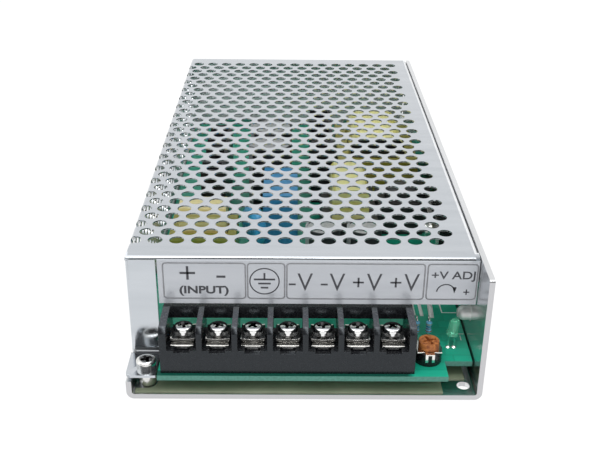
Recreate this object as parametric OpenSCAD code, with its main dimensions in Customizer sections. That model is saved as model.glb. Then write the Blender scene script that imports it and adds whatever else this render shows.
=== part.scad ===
// Enclosed DC power converter: a folded aluminium chassis under a perforated steel cover, with a
// seven-way barrier terminal block, an output trimmer and an indicator lamp on the open front shelf.
// Millimetres. The origin is the middle of the footprint on the mounting surface, +Y runs to the back
// and +X to the right, seen from the terminals.

/* [Case] */
// Width over the left face of the cover and the right wall of the chassis
case_w = 98; // [94:1:120]
// Length from the front edge of the base to the back face of the cover
case_l = 199; // [190:1:240]
// Height from the underside of the base to the top of the cover
case_h = 38; // [36:1:50]
// Depth of the open shelf in front of the cover
shelf_l = 12.1; // [11:0.1:15]

/* [Chassis sheet] */
// Thickness of the chassis sheet
base_t = 1.5; // [1:0.1:2]
// Outside radius of the chassis bends
base_bend_r = 2.2; // [2.1:0.1:3]
// Radius of the upper front corner of the right wall
wall_corner_r = 1; // [1:0.5:6]
// Diameter of the tapped mounting holes in the base
base_hole_d = 3.6; // [3:0.1:4.5]
// Distance of the mounting holes from the front and back edges of the base
base_hole_inset = 4.5; // [4:0.5:8]
// Distance of the mounting holes from the inner face of the right wall
base_hole_from_wall = 3; // [2.5:0.5:5]
// Width of the two tabs that are folded up inside the back of the cover
tab_w = 16; // [10:1:24]
// Height of the tabs above the base
tab_h = 9; // [6:1:14]
// Distance of each tab's middle from the middle of the base
tab_x = 28; // [20:1:34]

/* [Cover sheet] */
// Thickness of the cover sheet
cover_t = 0.8; // [0.6:0.1:1]
// Outside radius of the cover bends
cover_bend_r = 1.2; // [1.1:0.1:2]
// Width of the folded strip at the left of the front
strip_w = 8.2; // [8:0.1:10]
// Gap between that strip and the printed lip
seam = 0.5; // [0.3:0.1:1]
// Room between the top of the terminal block and the lower edge of the lip
lip_clear = 1.6; // [1:0.1:4]
// Height of the flange that is folded down inside the right wall
flange_h = 8; // [7:0.5:12]
// Radius of the free corner of the foot
foot_corner_r = 1.5; // [0.5:0.5:3]
// Distance of the foot's screw in front of the middle of the foot
foot_screw_shift = 0.8; // [0:0.1:1]

/* [Perforation] */
// Diameter of the vent holes
vent_d = 4.2; // [3:0.1:4.6]
// Pitch of the holes along a row
vent_pitch = 6.05; // [5.6:0.05:8]
// Distance from one row to the next
vent_row = 5.09; // [4.9:0.01:7]
// Distance of the first row from the front of the cover
vent_front = 9.75; // [8:0.25:14]
// Plain margin kept behind the last row
vent_back = 8.5; // [6:0.5:14]
// Plain margin kept at the right of the rows
vent_right = 7; // [6:0.5:14]
// Distance of the column on the left bend from the left face
vent_left = 1.05; // [0.9:0.05:1.6]
// Plain margin kept along the lower edge of the left wall
vent_foot = 3; // [2:0.5:8]

/* [Board] */
// Thickness of the circuit board
board_t = 1.6; // [1.2:0.1:2]
// Height of the standoffs between base and board
standoff_h = 4.5; // [4:0.25:8]
// Diameter of the standoffs
standoff_d = 5; // [4.6:0.1:5.4]
// Thickness of the insulating sheet
film_t = 0.4; // [0.2:0.1:0.8]
// Width of the board's notch above the mounting hole, from the inner face of the right wall
notch_w = 8.2; // [7:0.1:12]
// Depth of that notch
notch_l = 7.3; // [6:0.1:10]
// Distance of the board screws from the side edges of the board
board_screw_side = 3.8; // [3.6:0.1:6]
// Distance of the back pair of board screws from the back edge of the board
board_screw_back = 12; // [6:0.5:20]
// Distance of the front right board screw from the front edge of the board
board_screw_front = 42; // [34:1:48]

/* [Terminal block] */
// Largest number of terminals; a narrow case takes fewer
poles = 7; // [3:1:7]
// Distance between terminals
pole_pitch = 9.6; // [9.4:0.1:10]
// Thickness of the barriers between terminals
barrier_t = 1.6; // [1.2:0.1:1.8]
// Thickness of the two end barriers
end_barrier_t = 2; // [1.6:0.1:2.6]
// Height of the barriers above the board
barrier_h = 14.2; // [13:0.1:16]
// Height of the block's floor above the board
floor_h = 7.2; // [6:0.1:7.5]
// Depth of the floor from front to back
floor_l = 12; // [11:0.1:13]
// Depth of the barriers from front to back
barrier_l = 15.4; // [13.2:0.1:16]
// Height of the rail that joins the barriers at the back
rail_h = 3.8; // [2:0.1:4.2]
// Thickness of that rail
rail_t = 3.7; // [1.2:0.1:4]
// Bevel on the upper front corner of each barrier
barrier_bevel = 1.6; // [0.4:0.1:2]
// Distance of the block from the front edge of the board
block_inset = 1.1; // [0.8:0.1:2]
// Gap between the cover's foot and the block
block_gap = 1.3; // [0.6:0.1:3]

/* [Terminals] */
// Width of the contact plates
plate_w = 6.2; // [5.4:0.1:7.4]
// Thickness of the contact plates
plate_t = 0.7; // [0.6:0.1:1.2]
// Distance of a plate's front edge from the front of the block
plate_inset = 1.9; // [1:0.1:2.4]
// Width of the tab folded down at a plate's front
plate_tab_w = 3; // [3:0.1:4.6]
// Drop of that tab
plate_tab_h = 0.5; // [0.4:0.1:1.2]
// Width of the solder pin
pin_w = 1.2; // [0.8:0.1:1.4]
// Reach of the solder pin below the board
pin_reach = 1; // [0.5:0.1:2]
// Width of the clamp washers
washer_w = 6.6; // [6:0.1:7.2]
// Length of the clamp washers from front to back
washer_l = 7; // [6:0.1:7.4]
// Thickness of the clamp washers
washer_t = 0.8; // [0.6:0.1:1]
// Radius of the saddle that a clamp washer is bent to
saddle_r = 14; // [8:0.2:16]
// Diameter of a terminal screw's thread
screw_d = 3.5; // [3:0.1:3.8]
// Diameter of a terminal screw's head
screw_head_d = 5.4; // [5:0.1:6]
// Height of a terminal screw's head
screw_head_h = 2.3; // [1.8:0.1:2.6]
// Length of a terminal screw under its head
screw_l = 6.6; // [6:0.1:7]
// Distance of the screws from the front of the block
screw_inset = 7; // [6.6:0.1:7.4]

/* [Trimmer] */
// Diameter of the trimmer's base
trimmer_d = 7.7; // [7:0.1:8]
// Height of the trimmer's base
trimmer_h = 4; // [3:0.1:5]
// Gap between the block and the trimmer
trimmer_gap = 0.6; // [0.5:0.1:2]
// Distance of the trimmer's axis from the front edge of the board
trimmer_inset = 8.2; // [7:0.1:9]
// Diameter of the rotor
rotor_d = 5.8; // [5:0.1:6.2]
// Thickness of the rotor
rotor_h = 2; // [1.6:0.1:2.6]
// Diameter of the rotor's stem
stem_d = 2; // [1.6:0.1:2.4]
// Thickness of the base under the rotor's stem
stem_floor = 1; // [0.5:0.1:1.5]
// Width of the rotor's cross slot
slot_w = 0.8; // [0.6:0.1:1]
// Length of the rotor's cross slot
slot_l = 4.2; // [3:0.1:4.6]
// Depth of the rotor's cross slot
slot_depth = 0.9; // [0.5:0.1:1.2]
// Turn of the rotor's cross slot at the middle of its travel
slot_turn = 20; // [0:5:90]
// Thickness of the sprung contact clip
clip_t = 0.35; // [0.3:0.05:0.5]

/* [Lamp and resistors] */
// Diameter of the indicator lamp
lamp_d = 3; // [2.6:0.1:3.4]
// Height of the lamp's straight part, below its dome
lamp_h = 3.6; // [3:0.1:5]
// Height of the lamp's flange above the board
lamp_stand = 4.4; // [2:0.1:6]
// Lean of the lamp to the right
lamp_lean = 8; // [0:1:12]
// Distance of the lamp from the inner face of the right wall
lamp_from_wall = 5.4; // [4.6:0.1:7]
// Distance of the lamp behind the front edge of the board
lamp_inset = 14.6; // [13.6:0.1:18]
// Distance between the lamp's leads
lamp_lead_pitch = 1.7; // [1.4:0.1:2]
// Diameter of the component leads
lead_d = 0.6; // [0.4:0.05:0.7]
// Diameter of the small resistors
resistor_d = 1.9; // [1.6:0.1:2.2]
// Diameter of their waists
resistor_waist_d = 1.6; // [1.2:0.1:1.6]
// Length of the small resistors
resistor_l = 3.8; // [3:0.1:5]
// Height of a resistor's lower end above the board
resistor_stand = 2.6; // [1:0.1:4]
// Distance of the first resistor from the terminal block
resistor_gap = 2.3; // [2:0.1:4]
// Distance between the two resistors
resistor_pitch = 3.5; // [3.4:0.1:4]
// Distance of the resistors behind the front edge of the board
resistor_inset = 18; // [17:0.1:22]

/* [Transformer] */
// Width of the transformer core
core_w = 30; // [26:1:32]
// Length of the transformer core
core_l = 40; // [36:1:44]
// Height of the transformer core
core_h = 15; // [12:1:18]
// Thickness of the yokes and outer legs of the cores
core_limb = 4.5; // [3:0.5:6]
// Height of the transformer's taped coil
coil_h = 24; // [20:1:26]
// Distance of the transformer core from the inner face of the right wall
core_from_wall = 4; // [3:0.5:8]
// Distance of the transformer core behind the front edge of the board
core_inset = 111; // [108:1:118]

/* [Other inside parts] */
// Gap between coils that stand side by side, and between them and the wall
coil_space = 1; // [0.6:0.1:2]
// Width of the output choke
choke_w = 19; // [17:1:20]
// Length of the output choke
choke_l = 32; // [28:1:34]
// Height of the output choke's coil
choke_h = 23; // [18:1:25]
// Room between the output choke and the transformer core
choke_room = 10; // [8:0.5:12]
// Width of the drive transformer
drive_w = 20; // [18:1:21]
// Length of the drive transformer
drive_l = 16; // [15:1:18]
// Height of the drive transformer's coil
drive_h = 16; // [12:1:18]
// Width of the input filter coil
filter_w = 22; // [20:1:24]
// Length of the input filter coil
filter_l = 17; // [15:1:19]
// Height of the input filter coil
filter_h = 21; // [16:1:24]
// Distance of the input filter coil from the left edge of the board
filter_side = 4; // [3:0.5:6]
// Distance of the input filter coil behind the front edge of the board
filter_inset = 59; // [57:0.5:62]
// Height of the flat cores of the smaller coils
small_core_h = 12; // [10:0.5:13]
// Thickness of the yokes and outer legs of the smaller cores
small_limb = 3; // [2:0.5:3.5]
// Diameter of the input capacitors
input_cap_d = 16; // [14:1:17]
// Height of the input capacitors
input_cap_h = 24; // [20:1:25]
// Gap between neighbouring capacitors
cap_space = 2; // [1:0.5:4]
// Diameter of the output capacitors
output_cap_d = 11; // [9:0.5:12]
// Height of the output capacitors
output_cap_h = 20; // [16:1:24]
// Room between the output capacitors and the output choke
output_cap_room = 12; // [10:0.5:14]
// Distance of the first output capacitor to the left of the choke's middle
output_cap_shift = 10; // [8:0.5:11]
// Width of the film capacitor
film_cap_w = 12; // [10:0.5:13]
// Length of the film capacitor
film_cap_l = 26; // [22:1:28]
// Height of the film capacitor
film_cap_h = 19; // [15:1:22]
// Radius of the film capacitor's upright edges
film_cap_r = 1; // [0.5:0.1:2]
// Distance of the film capacitor behind the front edge of the board
film_cap_inset = 76; // [72:0.5:78]
// Diameter of the surge absorber's disc
absorber_d = 14; // [10:0.5:15]
// Thickness of that disc
absorber_t = 4.5; // [3:0.5:6]
// Distance of the disc's middle to the right of the input filter coil
absorber_shift = 5.5; // [4:0.5:7]
// Distance of the disc's middle behind the front edge of the board
absorber_inset = 68; // [46:0.5:68]
// Length of the black heat sinks
sink_l = 46; // [40:1:50]
// Height of the black heat sinks
sink_h = 22; // [18:1:25]
// Thickness of the heat sinks' plates and fins
sink_t = 1.6; // [1.2:0.1:2]
// Reach of the heat sinks' fins
sink_fin = 7; // [5:0.5:8]
// Distance of the input heat sink's plate from the left edge of the board
input_sink_side = 19; // [16:0.5:22]
// Room between the input heat sink and the input filter coil
input_sink_room = 14; // [10:0.5:16]
// Distance of the output heat sink's plate from the transformer core
output_sink_side = 3; // [2:0.5:4]
// Width of the power devices on the right wall
device_w = 10; // [9:0.5:11]
// Height of the power devices
device_h = 15; // [12:0.5:17]
// Thickness of the power devices
device_t = 4.4; // [4:0.1:5]
// Gap between the two power devices
device_space = 7; // [6.5:0.5:9]
// Distance of the first power device behind the front right board screw
device_inset = 14; // [12:0.5:16]
// Height of the power devices above the board
device_stand = 5; // [3:0.5:7]
// Thickness of the clamp over the power devices
clamp_t = 1.2; // [0.8:0.1:1.6]
// Height of that clamp
clamp_h = 8; // [6.5:0.5:12]
// Thickness of the thermal pad
pad_t = 0.4; // [0.2:0.1:0.8]

/* [Fasteners] */
// Thread diameter of the small screws
bolt_d = 3; // [2.5:0.5:3]
// Diameter of their pan heads
bolt_head_d = 5.6; // [5:0.1:6]
// Height of their pan heads
bolt_head_h = 2.2; // [1.6:0.1:2.6]
// Diameter of the flush heads in the right wall
flush_head_d = 5; // [4.6:0.1:5.4]
// Depth of the flush heads
flush_head_h = 1.2; // [1:0.1:1.4]
// Length of the cover screws
cover_screw_l = 4; // [3:0.5:6]
// Distance of the cover screws below the top
cover_screw_drop = 5; // [4:0.5:6]
// Distance of the cover screws from the ends of the cover
cover_screw_inset = 30; // [20:1:50]
// Diameter of the pressed-in side nuts
side_nut_d = 4.2; // [4:0.1:5]
// Length of the round-ended side nuts inside the wall
side_nut_l = 4; // [2:0.1:4]
// Tapping diameter of the side nuts
side_nut_bore = 2.5; // [2:0.1:3]
// Height of the side nuts above the mounting surface
side_nut_z = 16.5; // [16:0.5:19]
// Distance of the side nuts from the ends of the base
side_nut_inset = 19; // [18.5:0.5:30]

/* [Fits] */
// Gap between sheets that lie side by side
sheet_gap = 0.2; // [0.1:0.05:0.3]
// Gap between the board and the metal beside it
board_gap = 0.4; // [0.2:0.1:0.8]
// Gap round screws and spigots in their holes
screw_gap = 0.06; // [0.04:0.01:0.1]
// Gap round screws in plain clearance holes
hole_gap = 0.3; // [0.2:0.05:0.5]
// Gap between faces that bear on each other and move apart
seat_gap = 0.05; // [0.02:0.01:0.1]

/* [Hidden] */
$fn = 48;

// Edges of the whole case and faces of the walls
left_x = -case_w / 2;
right_x = case_w / 2;
front_y = -case_l / 2;
back_y = case_l / 2;
wall_in_x = right_x - base_t;
cover_y = front_y + shelf_l;
cover_right_x = wall_in_x - sheet_gap;
base_back_y = back_y - cover_t - sheet_gap;
tab_bend_y = base_back_y - base_bend_r;
cut = 1;

// Heights of the stack on the base
board_z = base_t + standoff_h;
board_top = board_z + board_t;
low_wall_top = board_z - board_gap;
cover_wall_z = low_wall_top + sheet_gap;
under_cover = case_h - cover_t;

// Edges of the board
board_front = front_y + sheet_gap;
board_left = left_x + cover_t + board_gap;
board_right = wall_in_x - board_gap;
board_back = base_back_y - base_t - board_gap;

// Foot of the cover and its screw
foot_right = left_x + strip_w;
foot_screw_x = left_x + base_bend_r + standoff_d / 2 + board_gap;
foot_screw_y = front_y + shelf_l / 2 - foot_screw_shift;
foot_top = board_top;
foot_z = foot_top - cover_t;

// Places of the board screws and standoffs
board_screw_xy = [
  [board_left + board_screw_side, board_back - board_screw_back],
  [board_right - board_screw_side, board_back - board_screw_back],
  [board_right - board_screw_side, board_front + board_screw_front]
];
standoff_xy = concat([[foot_screw_x, foot_screw_y]], board_screw_xy);
film_hole_d = standoff_d + 2 * board_gap;
spigot_step = 0.6;
spigot_recess = 0.3;
spigot_d = standoff_d - 2 * spigot_step;

// Mounting holes in the base
base_hole_x = wall_in_x - base_hole_from_wall;
base_hole_y = case_l / 2 - base_hole_inset;

// Terminal block and its terminals
block_left = foot_right + block_gap;
block_front = board_front + block_inset;
first_pole_x = block_left + end_barrier_t + (pole_pitch - barrier_t) / 2;
control_room = board_gap
  + max(trimmer_gap + trimmer_d, resistor_gap + resistor_pitch + resistor_d / 2 + side_nut_l);
block_room = wall_in_x - control_room - block_left;
pole_count = min(poles, floor((block_room - 2 * end_barrier_t + barrier_t) / pole_pitch));
block_right = block_left + 2 * end_barrier_t + pole_count * pole_pitch - barrier_t;
floor_z = board_top + floor_h;
block_top = board_top + barrier_h;
lip_z = block_top + lip_clear;
screw_y = block_front + screw_inset;
plate_front = block_front + plate_inset;
plate_back = block_front + floor_l + seat_gap + plate_t;
plate_top = floor_z + plate_t;
saddle_lift = saddle_r - sqrt(pow(saddle_r, 2) - pow(screw_head_d / 2, 2));
washer_z = plate_top + seat_gap;
screw_z = washer_z + washer_t + saddle_lift + seat_gap;
screw_hole_d = screw_d + 2 * hole_gap;
screw_tip_room = 0.4;
recess_room = 0.6;
recess_w = plate_tab_w + 2 * recess_room;
recess_h = plate_tab_h + recess_room / 2;
function pole_x(i) = first_pole_x + (i - 1) * pole_pitch;

// Trimmer, lamp and resistors
trimmer_x = block_right + trimmer_gap + trimmer_d / 2;
trimmer_y = board_front + trimmer_inset;
clip_z = board_top + trimmer_h;
rotor_z = clip_z + clip_t + 2 * seat_gap;
stem_room = 0.4;
stem_l = trimmer_h - stem_floor - stem_room;
lamp_x = wall_in_x - lamp_from_wall;
lamp_y = board_front + lamp_inset;
lamp_flange_h = 0.8;
lamp_flange = 0.25;
resistor_x = block_right + resistor_gap;
resistor_y = board_front + resistor_inset;
resistor_turn_r = 0.8;

// Perforation: places along the developed sheet, counted from the bend's tangent on the top
bend_arc = PI / 2 * (cover_bend_r - cover_t / 2);
vent_start = vent_left - cover_bend_r;
vent_rows = floor((back_y - cover_y - vent_front - vent_back) / vent_row) + 1;
vent_tilt = 30;
function vent_y(row) = cover_y + vent_front + row * vent_row;
function vent_s(row, k) = vent_start + (row % 2) * vent_pitch / 2 + k * vent_pitch;
function vent_x(row, k) = left_x + cover_bend_r + vent_s(row, k);
function vent_cols(row) = floor((cover_right_x - vent_right - vent_x(row, 0)) / vent_pitch);
function vent_z(row, k) = case_h - cover_bend_r + vent_s(row, -k) + bend_arc;
function vent_wall_rows(row) =
  floor((vent_z(row, 1) - cover_wall_z - vent_foot - vent_d / 2) / vent_pitch) + 1;

// Cover screws and side nuts
cover_screw_z = case_h - cover_screw_drop;
cover_screw_y = [cover_y + cover_screw_inset, back_y - cover_screw_inset];
side_nut_y = case_l / 2 - side_nut_inset;
side_nut_collar = 0.3;
side_nut_spigot_d = side_nut_d + 2 * side_nut_collar;

// Inside parts, placed from the board's front edge, from the walls and from each other
coil_gap = 0.3;
bobbin_foot = 2;
coil_drop = 1.5;
transformer_x = wall_in_x - core_from_wall - core_w / 2;
transformer_y = board_front + core_inset + core_l / 2;
drive_x = wall_in_x - coil_space - drive_w / 2;
choke_x = drive_x - drive_w / 2 - coil_space - choke_w / 2;
choke_y = transformer_y - core_l / 2 - choke_room - choke_l / 2;
drive_y = choke_y + choke_l / 2 - drive_l / 2;
filter_x = board_left + filter_side + filter_w / 2;
filter_y = board_front + filter_inset + filter_l / 2;
filter_right = filter_x + filter_w / 2;
film_cap_x = (filter_right + choke_x - choke_w / 2) / 2;
film_cap_y = board_front + film_cap_inset + film_cap_l / 2;
absorber_x = filter_right + absorber_shift;
absorber_y = board_front + absorber_inset;
absorber_turn = 25;
input_sink_x = board_left + input_sink_side;
input_sink_y = filter_y + filter_l / 2 + input_sink_room;
output_sink_x = transformer_x - core_w / 2 - output_sink_side;
output_sink_y = transformer_y - core_l / 2;
sink_fins = 7;
input_cap_x = (input_sink_x + sink_t + output_sink_x - sink_fin) / 2;
input_cap_y = film_cap_y + film_cap_l / 2 + cap_space + input_cap_d / 2;
input_cap_pitch = input_cap_d + cap_space;
output_cap_x = choke_x - output_cap_shift;
output_cap_y = choke_y - choke_l / 2 - output_cap_room - output_cap_d / 2;
output_cap_pitch = output_cap_d + cap_space;
device_pitch = device_w + device_space;
device_y = board_front + board_screw_front + device_inset;
device_z = board_top + device_stand;
device_mid_y = device_y + device_pitch / 2;
clamp_l = device_pitch + device_w;
clamp_face_x = wall_in_x - pad_t - device_t;

module rounded_2d(w, l, r) {
  square([w - 2 * r, l], center = true);
  square([w, l - 2 * r], center = true);
  for (sx = [-1, 1], sy = [-1, 1])
    translate([sx * (w / 2 - r), sy * (l / 2 - r)]) circle(r);
}

// Quarter ring of a folded sheet, its centre at the origin and its arc in the +x +y quarter
module bend_2d(r, t) {
  intersection() {
    difference() {
      circle(r);
      circle(r - t);
    }
    square(r);
  }
}

// Extrudes a drawing of the x and z directions along y
module along_y(y0, y1) {
  translate([0, y1, 0]) rotate([90, 0, 0]) linear_extrude(y1 - y0) children();
}

// Extrudes a drawing of the y and z directions along x
module along_x(x0, x1) {
  translate([x0, 0, 0]) rotate([90, 0, 90]) linear_extrude(x1 - x0) children();
}

// Pan head with a cross recess, standing on z = 0
module pan_head(d, h) {
  rim_h = h * 3 / 5;
  cap_h = h - rim_h;
  dome_r = (pow(d / 2, 2) + pow(cap_h, 2)) / (2 * cap_h);
  cross_w = d / 5;
  cross_l = d * 2 / 3;
  cross_depth = h / 2;
  difference() {
    intersection() {
      cylinder(d = d, h = h);
      translate([0, 0, h - dome_r]) sphere(dome_r);
    }
    for (a = [45, 135])
      rotate(a) translate([-cross_l / 2, -cross_w / 2, h - cross_depth]) cube([cross_l, cross_w, h]);
  }
}

// Pan-head screw whose head bears on z = 0
module pan_screw(d, l, head_d, head_h) {
  pan_head(head_d, head_h);
  translate([0, 0, -l]) cylinder(d = d, h = l + cut / 10);
}

module chassis_section() {
  flat_w = case_w - 2 * base_bend_r;
  translate([-flat_w / 2, 0]) square([flat_w, base_t]);
  translate([right_x - base_bend_r, base_bend_r]) rotate(-90) bend_2d(base_bend_r, base_t);
  translate([left_x + base_bend_r, base_bend_r]) rotate(180) bend_2d(base_bend_r, base_t);
  translate([wall_in_x, base_bend_r]) square([base_t, case_h - base_bend_r]);
  translate([left_x, base_bend_r]) square([base_t, low_wall_top - base_bend_r]);
}

module chassis() {
  tab_relief = 1;
  color("gainsboro") difference() {
    union() {
      difference() {
        along_y(front_y, base_back_y) chassis_section();
        for (s = [-1, 1]) translate([s * tab_x - tab_w / 2 - tab_relief, tab_bend_y, -cut])
          cube([tab_w + 2 * tab_relief, base_bend_r + cut, base_t + 2 * cut]);
      }
      for (s = [-1, 1]) along_x(s * tab_x - tab_w / 2, s * tab_x + tab_w / 2) {
        translate([tab_bend_y - cut, 0]) square([cut, base_t]);
        translate([tab_bend_y, base_bend_r]) rotate(-90) bend_2d(base_bend_r, base_t);
        translate([base_back_y - base_t, base_bend_r]) square([base_t, base_t + tab_h - base_bend_r]);
      }
    }
    for (s = [-1, 1]) translate([base_hole_x, s * base_hole_y, -cut])
      cylinder(d = base_hole_d, h = base_t + 2 * cut);
    for (p = standoff_xy) translate([p.x, p.y, -cut])
      cylinder(d = spigot_d + 2 * screw_gap, h = base_t + 2 * cut);
    for (s = [-1, 1]) translate([wall_in_x - cut, s * side_nut_y, side_nut_z]) rotate([0, 90, 0])
      cylinder(d = side_nut_spigot_d + 2 * screw_gap, h = base_t + 2 * cut);
    for (y = cover_screw_y) translate([right_x, y, cover_screw_z]) rotate([0, 90, 0])
      flush_screw_shape(bolt_d + 2 * hole_gap, flush_head_d + 2 * screw_gap, base_t + cut);
    translate([wall_in_x - cut, device_mid_y, device_z + device_h / 2]) rotate([0, 90, 0])
      cylinder(d = bolt_d + 2 * screw_gap, h = base_t + 2 * cut);
    along_x(wall_in_x - cut, right_x + cut) difference() {
      translate([front_y - cut, case_h - wall_corner_r]) square([wall_corner_r + cut, wall_corner_r + cut]);
      translate([front_y + wall_corner_r, case_h - wall_corner_r]) circle(wall_corner_r);
    }
  }
}

// Countersunk screw along -z, its head flush with z = 0
module flush_screw_shape(d, head_d, l) {
  translate([0, 0, -flush_head_h]) cylinder(d1 = d, d2 = head_d, h = flush_head_h);
  translate([0, 0, -l]) cylinder(d = d, h = l - flush_head_h + cut / 10);
}

module top_left_bend() {
  translate([left_x + cover_bend_r, case_h - cover_bend_r]) rotate(90) bend_2d(cover_bend_r, cover_t);
}

// Cross-section of the left wall, the top and the right flange
module cover_section() {
  translate([left_x, cover_wall_z]) square([cover_t, case_h - cover_bend_r - cover_wall_z]);
  top_left_bend();
  translate([left_x + cover_bend_r, under_cover])
    square([cover_right_x - left_x - 2 * cover_bend_r, cover_t]);
  translate([cover_right_x - cover_bend_r, case_h - cover_bend_r]) bend_2d(cover_bend_r, cover_t);
  translate([cover_right_x - cover_t, case_h - flange_h]) square([cover_t, flange_h - cover_bend_r]);
}

// Front lip and back flap, each folded down from the top
module lip_section(y, drop, direction) {
  bend_y = y + direction * cover_bend_r;
  translate([min(bend_y, bend_y + direction * 2 * cut), under_cover]) square([2 * cut, cover_t]);
  translate([bend_y, case_h - cover_bend_r]) rotate(direction > 0 ? 90 : 0) bend_2d(cover_bend_r, cover_t);
  translate([min(y, y + direction * cover_t), case_h - drop]) square([cover_t, drop - cover_bend_r]);
}

// Strip folded from the left wall, with its foot folded forward beside the board
module front_strip() {
  strip_top = under_cover - sheet_gap;
  strip_z = foot_top + cover_bend_r - cover_t;
  difference() {
    union() {
      translate([0, 0, cover_wall_z]) linear_extrude(strip_top - cover_wall_z) {
        translate([left_x + cover_bend_r, cover_y + cover_bend_r]) rotate(180)
          bend_2d(cover_bend_r, cover_t);
        translate([left_x, cover_y + cover_bend_r]) square([cover_t, 2 * cut]);
      }
      translate([left_x + cover_bend_r, cover_y, strip_z])
        cube([strip_w - cover_bend_r, cover_t, strip_top - strip_z]);
      along_x(left_x + cover_bend_r, foot_right) {
        translate([cover_y - cover_bend_r + cover_t, strip_z]) rotate(-90) bend_2d(cover_bend_r, cover_t);
      }
      translate([0, 0, foot_z]) linear_extrude(cover_t) foot_outline();
    }
    translate([left_x - cut, cover_y - cut, cover_wall_z - cut])
      cube([cover_bend_r + cut, cover_bend_r + 2 * cut, foot_top + seam - cover_wall_z + cut]);
    translate([foot_screw_x, foot_screw_y, foot_z - cut])
      cylinder(d = bolt_d + 2 * hole_gap, h = cover_t + 2 * cut);
  }
}

module foot_outline() {
  foot_front = board_front;
  foot_back = cover_y - cover_bend_r + cover_t;
  r = foot_corner_r;
  translate([left_x + r, foot_front]) square([strip_w - r, foot_back - foot_front]);
  translate([left_x, foot_front + r]) square([strip_w, foot_back - foot_front - r]);
  translate([left_x + r, foot_front + r]) circle(r);
}

module vent_hole(h) {
  translate([0, 0, -h / 2]) cylinder(d = vent_d, h = h);
}

module vents() {
  for (row = [0:vent_rows - 1]) {
    for (k = [1 - row % 2:vent_cols(row)])
      translate([vent_x(row, k), vent_y(row), case_h]) vent_hole(4 * cover_t);
    if (row % 2 == 0)
      translate([vent_x(row, 0), vent_y(row), case_h]) rotate([0, -vent_tilt, 0]) vent_hole(3 * vent_d);
    for (k = [1:vent_wall_rows(row)])
      translate([left_x, vent_y(row), vent_z(row, k)]) rotate([0, 90, 0]) vent_hole(4 * cover_t);
  }
}

module cover() {
  lip_left = foot_right + seam;
  color("silver") difference() {
    union() {
      along_y(cover_y + cover_bend_r, back_y - cover_bend_r) cover_section();
      along_y(cover_y, cover_y + 2 * cover_bend_r) top_left_bend();
      translate([left_x + cover_bend_r, cover_y, under_cover])
        cube([cover_right_x - left_x - 2 * cover_bend_r, cover_bend_r + cut, cover_t]);
      along_x(lip_left, cover_right_x) lip_section(cover_y, case_h - lip_z, 1);
      along_x(left_x + cover_bend_r, cover_right_x - cover_bend_r)
        lip_section(back_y, case_h - sheet_gap, -1);
      translate([left_x, back_y - cover_t, sheet_gap])
        cube([cover_right_x - left_x, cover_t, case_h - cover_bend_r - sheet_gap]);
      translate([left_x, back_y - 2 * cover_bend_r, cover_wall_z])
        cube([cover_t, 2 * cover_bend_r - cover_t - sheet_gap, case_h - cover_bend_r - cover_wall_z]);
      front_strip();
    }
    vents();
    for (y = cover_screw_y) translate([cover_right_x - 3 * cover_t, y, cover_screw_z])
      rotate([0, 90, 0]) cylinder(d = bolt_d + 2 * screw_gap, h = 4 * cover_t);
  }
}

// Round-ended notch that lets a standoff through the side edge of the film
module film_notch(side_x) {
  circle(d = film_hole_d);
  translate([side_x, -film_hole_d / 2]) square([case_w, film_hole_d]);
}

module insulating_sheet() {
  film_margin = 1;
  sheet_right = wall_in_x - notch_w - film_margin;
  sheet_edge = wall_in_x - base_bend_r;
  color("honeydew") translate([0, 0, base_t]) linear_extrude(film_t) difference() {
    translate([left_x + base_bend_r, front_y + sheet_gap])
      square([sheet_edge - left_x - base_bend_r, tab_bend_y - front_y - 2 * sheet_gap]);
    translate([sheet_right, front_y - cut]) square([case_w, notch_l + cut]);
    for (p = standoff_xy) translate([p.x, p.y]) film_notch(p.x < 0 ? -case_w : 0);
    translate([base_hole_x, base_hole_y]) circle(d = base_hole_d + 4 * film_margin);
  }
}

module circuit_board() {
  pin_hole_d = norm([pin_w, plate_t]) + 4 * screw_gap;
  color("seagreen") translate([0, 0, board_z]) linear_extrude(board_t) difference() {
    translate([board_left, board_front]) square([board_right - board_left, board_back - board_front]);
    translate([left_x, front_y])
      square([strip_w + board_gap, shelf_l + cover_t + board_gap]);
    translate([wall_in_x - notch_w, board_front - cut]) square([notch_w + cut, notch_l + cut]);
    for (p = board_screw_xy) translate([p.x, p.y]) circle(d = bolt_d + 2 * hole_gap);
    for (i = [1:pole_count]) translate([pole_x(i), plate_back - plate_t / 2]) circle(d = pin_hole_d);
  }
}

// Pressed-in standoff between the base and the height top_z
module standoff(top_z) {
  difference() {
    union() {
      translate([0, 0, base_t]) cylinder(d = standoff_d, h = top_z - base_t);
      translate([0, 0, spigot_recess]) cylinder(d = spigot_d, h = base_t);
    }
    translate([0, 0, -cut]) cylinder(d = bolt_d + 2 * screw_gap, h = top_z + 2 * cut);
  }
}

// The standoff at the front left carries the cover's foot, the others carry the board
module board_standoffs() {
  color("lightgray") {
    translate([foot_screw_x, foot_screw_y, 0]) standoff(foot_z);
    for (p = board_screw_xy) translate([p.x, p.y, 0]) standoff(board_z);
  }
}

module board_screws() {
  color("silver") for (p = board_screw_xy) translate([p.x, p.y, board_top])
    pan_screw(bolt_d, board_t + standoff_h, bolt_head_d, bolt_head_h);
}

module foot_screw() {
  color("silver") translate([foot_screw_x, foot_screw_y, foot_top])
    pan_screw(bolt_d, foot_top - base_t, bolt_head_d, bolt_head_h);
}

module cover_screws() {
  cross_w = bolt_d / 5;
  color("silver") for (y = cover_screw_y) translate([right_x, y, cover_screw_z]) rotate([0, 90, 0])
    difference() {
      flush_screw_shape(bolt_d, flush_head_d, cover_screw_l);
      for (a = [0, 90]) rotate(a) translate([-bolt_d / 2, -cross_w / 2, -flush_head_h / 2])
        cube([bolt_d, cross_w, flush_head_h]);
    }
}

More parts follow.
